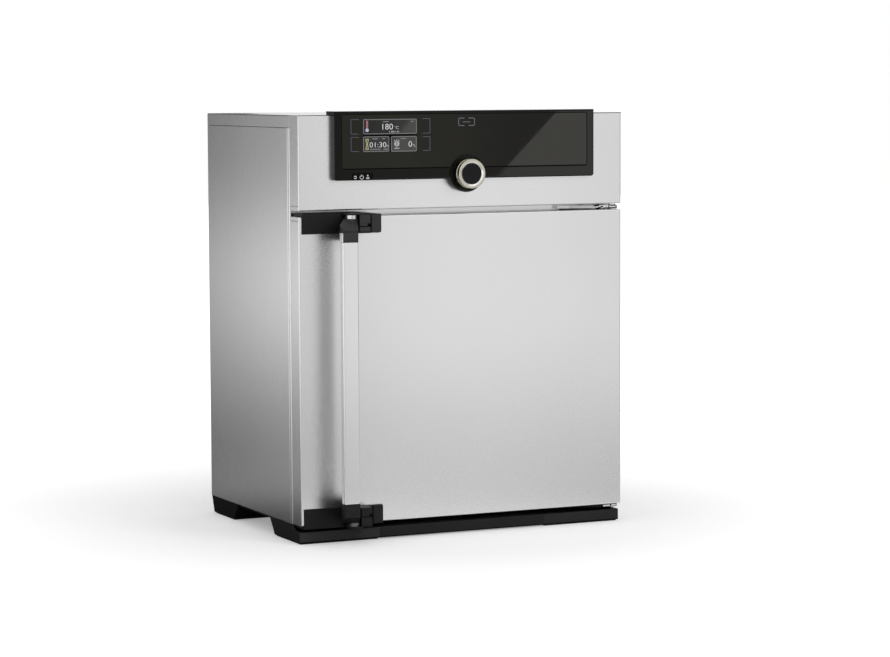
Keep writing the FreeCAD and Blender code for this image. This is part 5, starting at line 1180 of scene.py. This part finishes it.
class OVEN_OT_studio(bpy.types.Operator):
    """Set the floor, the soft light, the cards and the camera"""
    bl_idname = "oven.studio"
    bl_label = "Studio"

    def execute(self, context):
        settings = context.scene.oven_studio
        self.room(context, settings)
        self.floor(settings)
        self.card("rear_card", (-0.95, 1.35, 0.0), PHOTO_TURN, 3.2, 2.6, 1.75,
                  ((-1.75, 0.03), (-1.35, 0.05), (-1.02, 0.27), (-0.30, 0.25), (0.0, 0.32),
                   (0.08, 0.47), (0.16, 0.64), (0.24, 0.82), (0.32, 0.90), (0.40, 0.80),
                   (0.48, 0.58), (0.56, 0.40), (1.2, 0.33)), ((-0.30, 1.82), (0.36, 0.18)))
        self.card("front_card", (0.63, -1.60, 0.0), math.pi + PHOTO_TURN, 3.4, 2.6, 1.30,
                  ((-0.30, 0.70), (0.0, 0.82), (0.13, 1.15), (0.30, 1.12), (0.47, 1.02),
                   (0.60, 0.98), (1.2, 1.0)),
                  ((-0.7, 0.80), (-0.27, 0.91), (-0.02, 1.03), (0.12, 1.02), (0.30, 0.76),
                   (0.7, 0.6)))
        self.card("side_card", (1.70, -0.10, 0.0), math.pi / 2, 2.2, 2.4, 0.9,
                  ((-0.30, 0.05), (0.3, 0.10), (1.2, 0.30)), ((-1.0, 1.0), (1.0, 0.9)))
        self.lamps(settings)
        self.camera(context)
        context.scene.view_settings.view_transform = "Standard"
        return {"FINISHED"}

    def seen_directly(self, tree):
        """1 for camera, glossy and transmission rays, otherwise 0."""
        path = add_node(tree, "ShaderNodeLightPath").outputs
        seen = calculate(tree, "MAXIMUM", path["Is Camera Ray"], path["Is Glossy Ray"])
        return calculate(tree, "MAXIMUM", seen, path["Is Transmission Ray"])

    def room(self, context, settings):
        """White all round, dimmer where it only lights."""
        world = bpy.data.worlds.new("studio_room")
        context.scene.world = world
        tree = empty_tree(world)
        level = ranged(tree, self.seen_directly(tree), 0.0, 1.0, settings.room_level, 1.0)
        background = add_node(tree, "ShaderNodeBackground",
                              {"Color": (1.0, 1.0, 1.0), "Strength": level})
        add_node(tree, "ShaderNodeOutputWorld", {"Surface": background.outputs[0]})

    def floor(self, settings):
        """Pale floor that shows white and keeps the shadow."""
        start_clean()
        bpy.ops.mesh.primitive_plane_add(size=24.0, location=(0.0, 0.0, 0.0))
        floor = settled("floor", bpy.context.object)
        material = bpy.data.materials.new("pale_floor")
        tree = empty_tree(material)
        colour = between(tree, noise(tree, own_place(tree), 30.0),
                         tinted(settings.floor_colour, 0.985), settings.floor_colour)
        near, far = 0.4, 1.3
        level = ranged(tree, distance(tree, own_place(tree)), near, far, 0.30, 0.75)
        matt = add_node(tree, "ShaderNodeBsdfDiffuse", {"Color": colour})
        glow = add_node(tree, "ShaderNodeEmission", {
            "Strength": calculate(tree, "MULTIPLY", self.seen_directly(tree), level)})
        both = add_node(tree, "ShaderNodeAddShader", {0: matt.outputs[0], 1: glow.outputs[0]})
        add_node(tree, "ShaderNodeOutputMaterial", {"Surface": both.outputs[0]})
        floor.data.materials.append(material)

    def card(self, name, foot, turn, width, height, reach, upward, sideways):
        """Card with a foot on the floor, seen only in reflections, shaded by height and across."""
        start_clean()
        bpy.ops.mesh.primitive_plane_add(size=1.0, location=(0.0, 0.0, height / 2),
                                         rotation=(math.pi / 2, 0.0, 0.0))
        upright = bpy.context.object
        upright.scale = (width, height, 1.0)
        upright = settled(name, upright)
        start_clean()
        clear = 0.003
        bpy.ops.mesh.primitive_plane_add(size=1.0, location=(0.0, -reach / 2, clear))
        apron = bpy.context.object
        apron.scale = (width, reach, 1.0)
        piece = joined(name, [upright, settled("apron", apron)])
        piece.rotation_euler = (0.0, 0.0, turn)
        piece.location = foot
        piece = settled(name, piece)
        material = bpy.data.materials.new(name + "_shade")
        tree = empty_tree(material)
        place = parted(tree, centre=foot, turn=(0.0, 0.0, turn))
        rise = calculate(tree, "ADD", place["Z"], place["Y"])
        glow = add_node(tree, "ShaderNodeEmission", {"Color": greys(tree, rise, upward),
                                                     "Strength": greys(tree, place["X"], sideways)})
        add_node(tree, "ShaderNodeOutputMaterial", {"Surface": glow.outputs[0]})
        piece.data.materials.append(material)
        piece.visible_camera = False
        piece.visible_diffuse = False
        piece.visible_shadow = False
        piece.visible_transmission = False

    def lamps(self, settings):
        """One large soft lamp, and one that only the dark front mirrors."""
        start_clean()
        bpy.ops.object.light_add(type="AREA", location=(1.2, -2.8, 2.3))
        key = bpy.context.object
        key.name = "key_lamp"
        key.data.shape = "DISK"
        key.data.size = 1.8
        key.data.energy = settings.lamp_power
        aim = Vector((0.0, 0.0, 0.3)) - key.location
        key.rotation_euler = aim.to_track_quat("-Z", "Y").to_euler()
        start_clean()
        bpy.ops.object.light_add(type="AREA")
        sheen = bpy.context.object
        sheen.name = "sheen_lamp"
        sheen.data.shape = "RECTANGLE"
        long_side, short_side = 1.069, 0.611
        sheen.data.size = long_side
        sheen.data.size_y = short_side
        sheen.data.energy = settings.sheen_power
        along = Vector((0.7177, 0.0, 0.6964))
        across = Vector((0.6964, 0.0, -0.7177))
        edge_middle = Vector((0.5628, -1.10, 0.6185))
        oriented(sheen, along, -across, (0.0, -1.0, 0.0), edge_middle + across * short_side / 2)
        sheen.visible_camera = False
        dark_front = bpy.data.collections.new("dark_front")
        for name in ("control_glass", "control_housing"):
            dark_front.objects.link(NODES[name])
        for piece in bpy.data.objects:
            if piece.name.startswith(("tile_", "bracket_lines", "field_lines", "numbers", "unit")):
                dark_front.objects.link(piece)
        sheen.light_linking.receiver_collection = dark_front

    def camera(self, context):
        """Long lens, from the left of the front and a little above."""
        start_clean()
        bpy.ops.object.camera_add()
        camera = bpy.context.object
        camera.name = "photo_camera"
        camera.data.lens = 116.2235
        camera.data.sensor_width = 36.0
        camera.data.sensor_fit = "HORIZONTAL"
        oriented(camera, right=(0.90505986, -0.42526156, -0.00438874),
                 up=(0.04051502, 0.07594401, 0.99628863),
                 back=(-0.42334996, -0.90187866, 0.08596335), place=(-2.03009, -4.43861, 0.74621))
        context.scene.camera = camera


class OVEN_PT_pieces(bpy.types.Panel):
    """Lists the steps that dress the oven"""
    bl_idname = "OVEN_PT_pieces"
    bl_label = "Hot Air Oven"
    bl_space_type = "VIEW_3D"
    bl_region_type = "UI"
    bl_category = "Oven"

    def draw(self, context):
        layout = self.layout
        for settings in (context.scene.oven_finishes, context.scene.oven_readouts,
                         context.scene.oven_screws, context.scene.oven_studio):
            box = layout.box()
            for name in settings.bl_rna.properties.keys():
                if name not in ("rna_type", "name"):
                    box.prop(settings, name)
        for operator in OPERATORS:
            layout.operator(operator.bl_idname)


SETTINGS = {"oven_finishes": OvenFinishes, "oven_readouts": OvenReadouts,
            "oven_screws": OvenScrews, "oven_studio": OvenStudio}
OPERATORS = (OVEN_OT_finishes, OVEN_OT_tiles, OVEN_OT_digits, OVEN_OT_trims, OVEN_OT_key_marks,
             OVEN_OT_screws, OVEN_OT_studio)


def register():
    for name, group in SETTINGS.items():
        bpy.utils.register_class(group)
        setattr(bpy.types.Scene, name, PointerProperty(type=group))
    for shown in (*OPERATORS, OVEN_PT_pieces):
        bpy.utils.register_class(shown)


def unregister():
    for shown in (OVEN_PT_pieces, *reversed(OPERATORS)):
        bpy.utils.unregister_class(shown)
    for name, group in SETTINGS.items():
        delattr(bpy.types.Scene, name)
        bpy.utils.unregister_class(group)


def main():
    register()
    bpy.ops.oven.finishes()
    bpy.ops.oven.tiles()
    bpy.ops.oven.digits()
    bpy.ops.oven.trims()
    bpy.ops.oven.key_marks()
    bpy.ops.oven.screws()
    bpy.ops.oven.studio()
    start_clean()


if __name__ == "__main__":
    main()
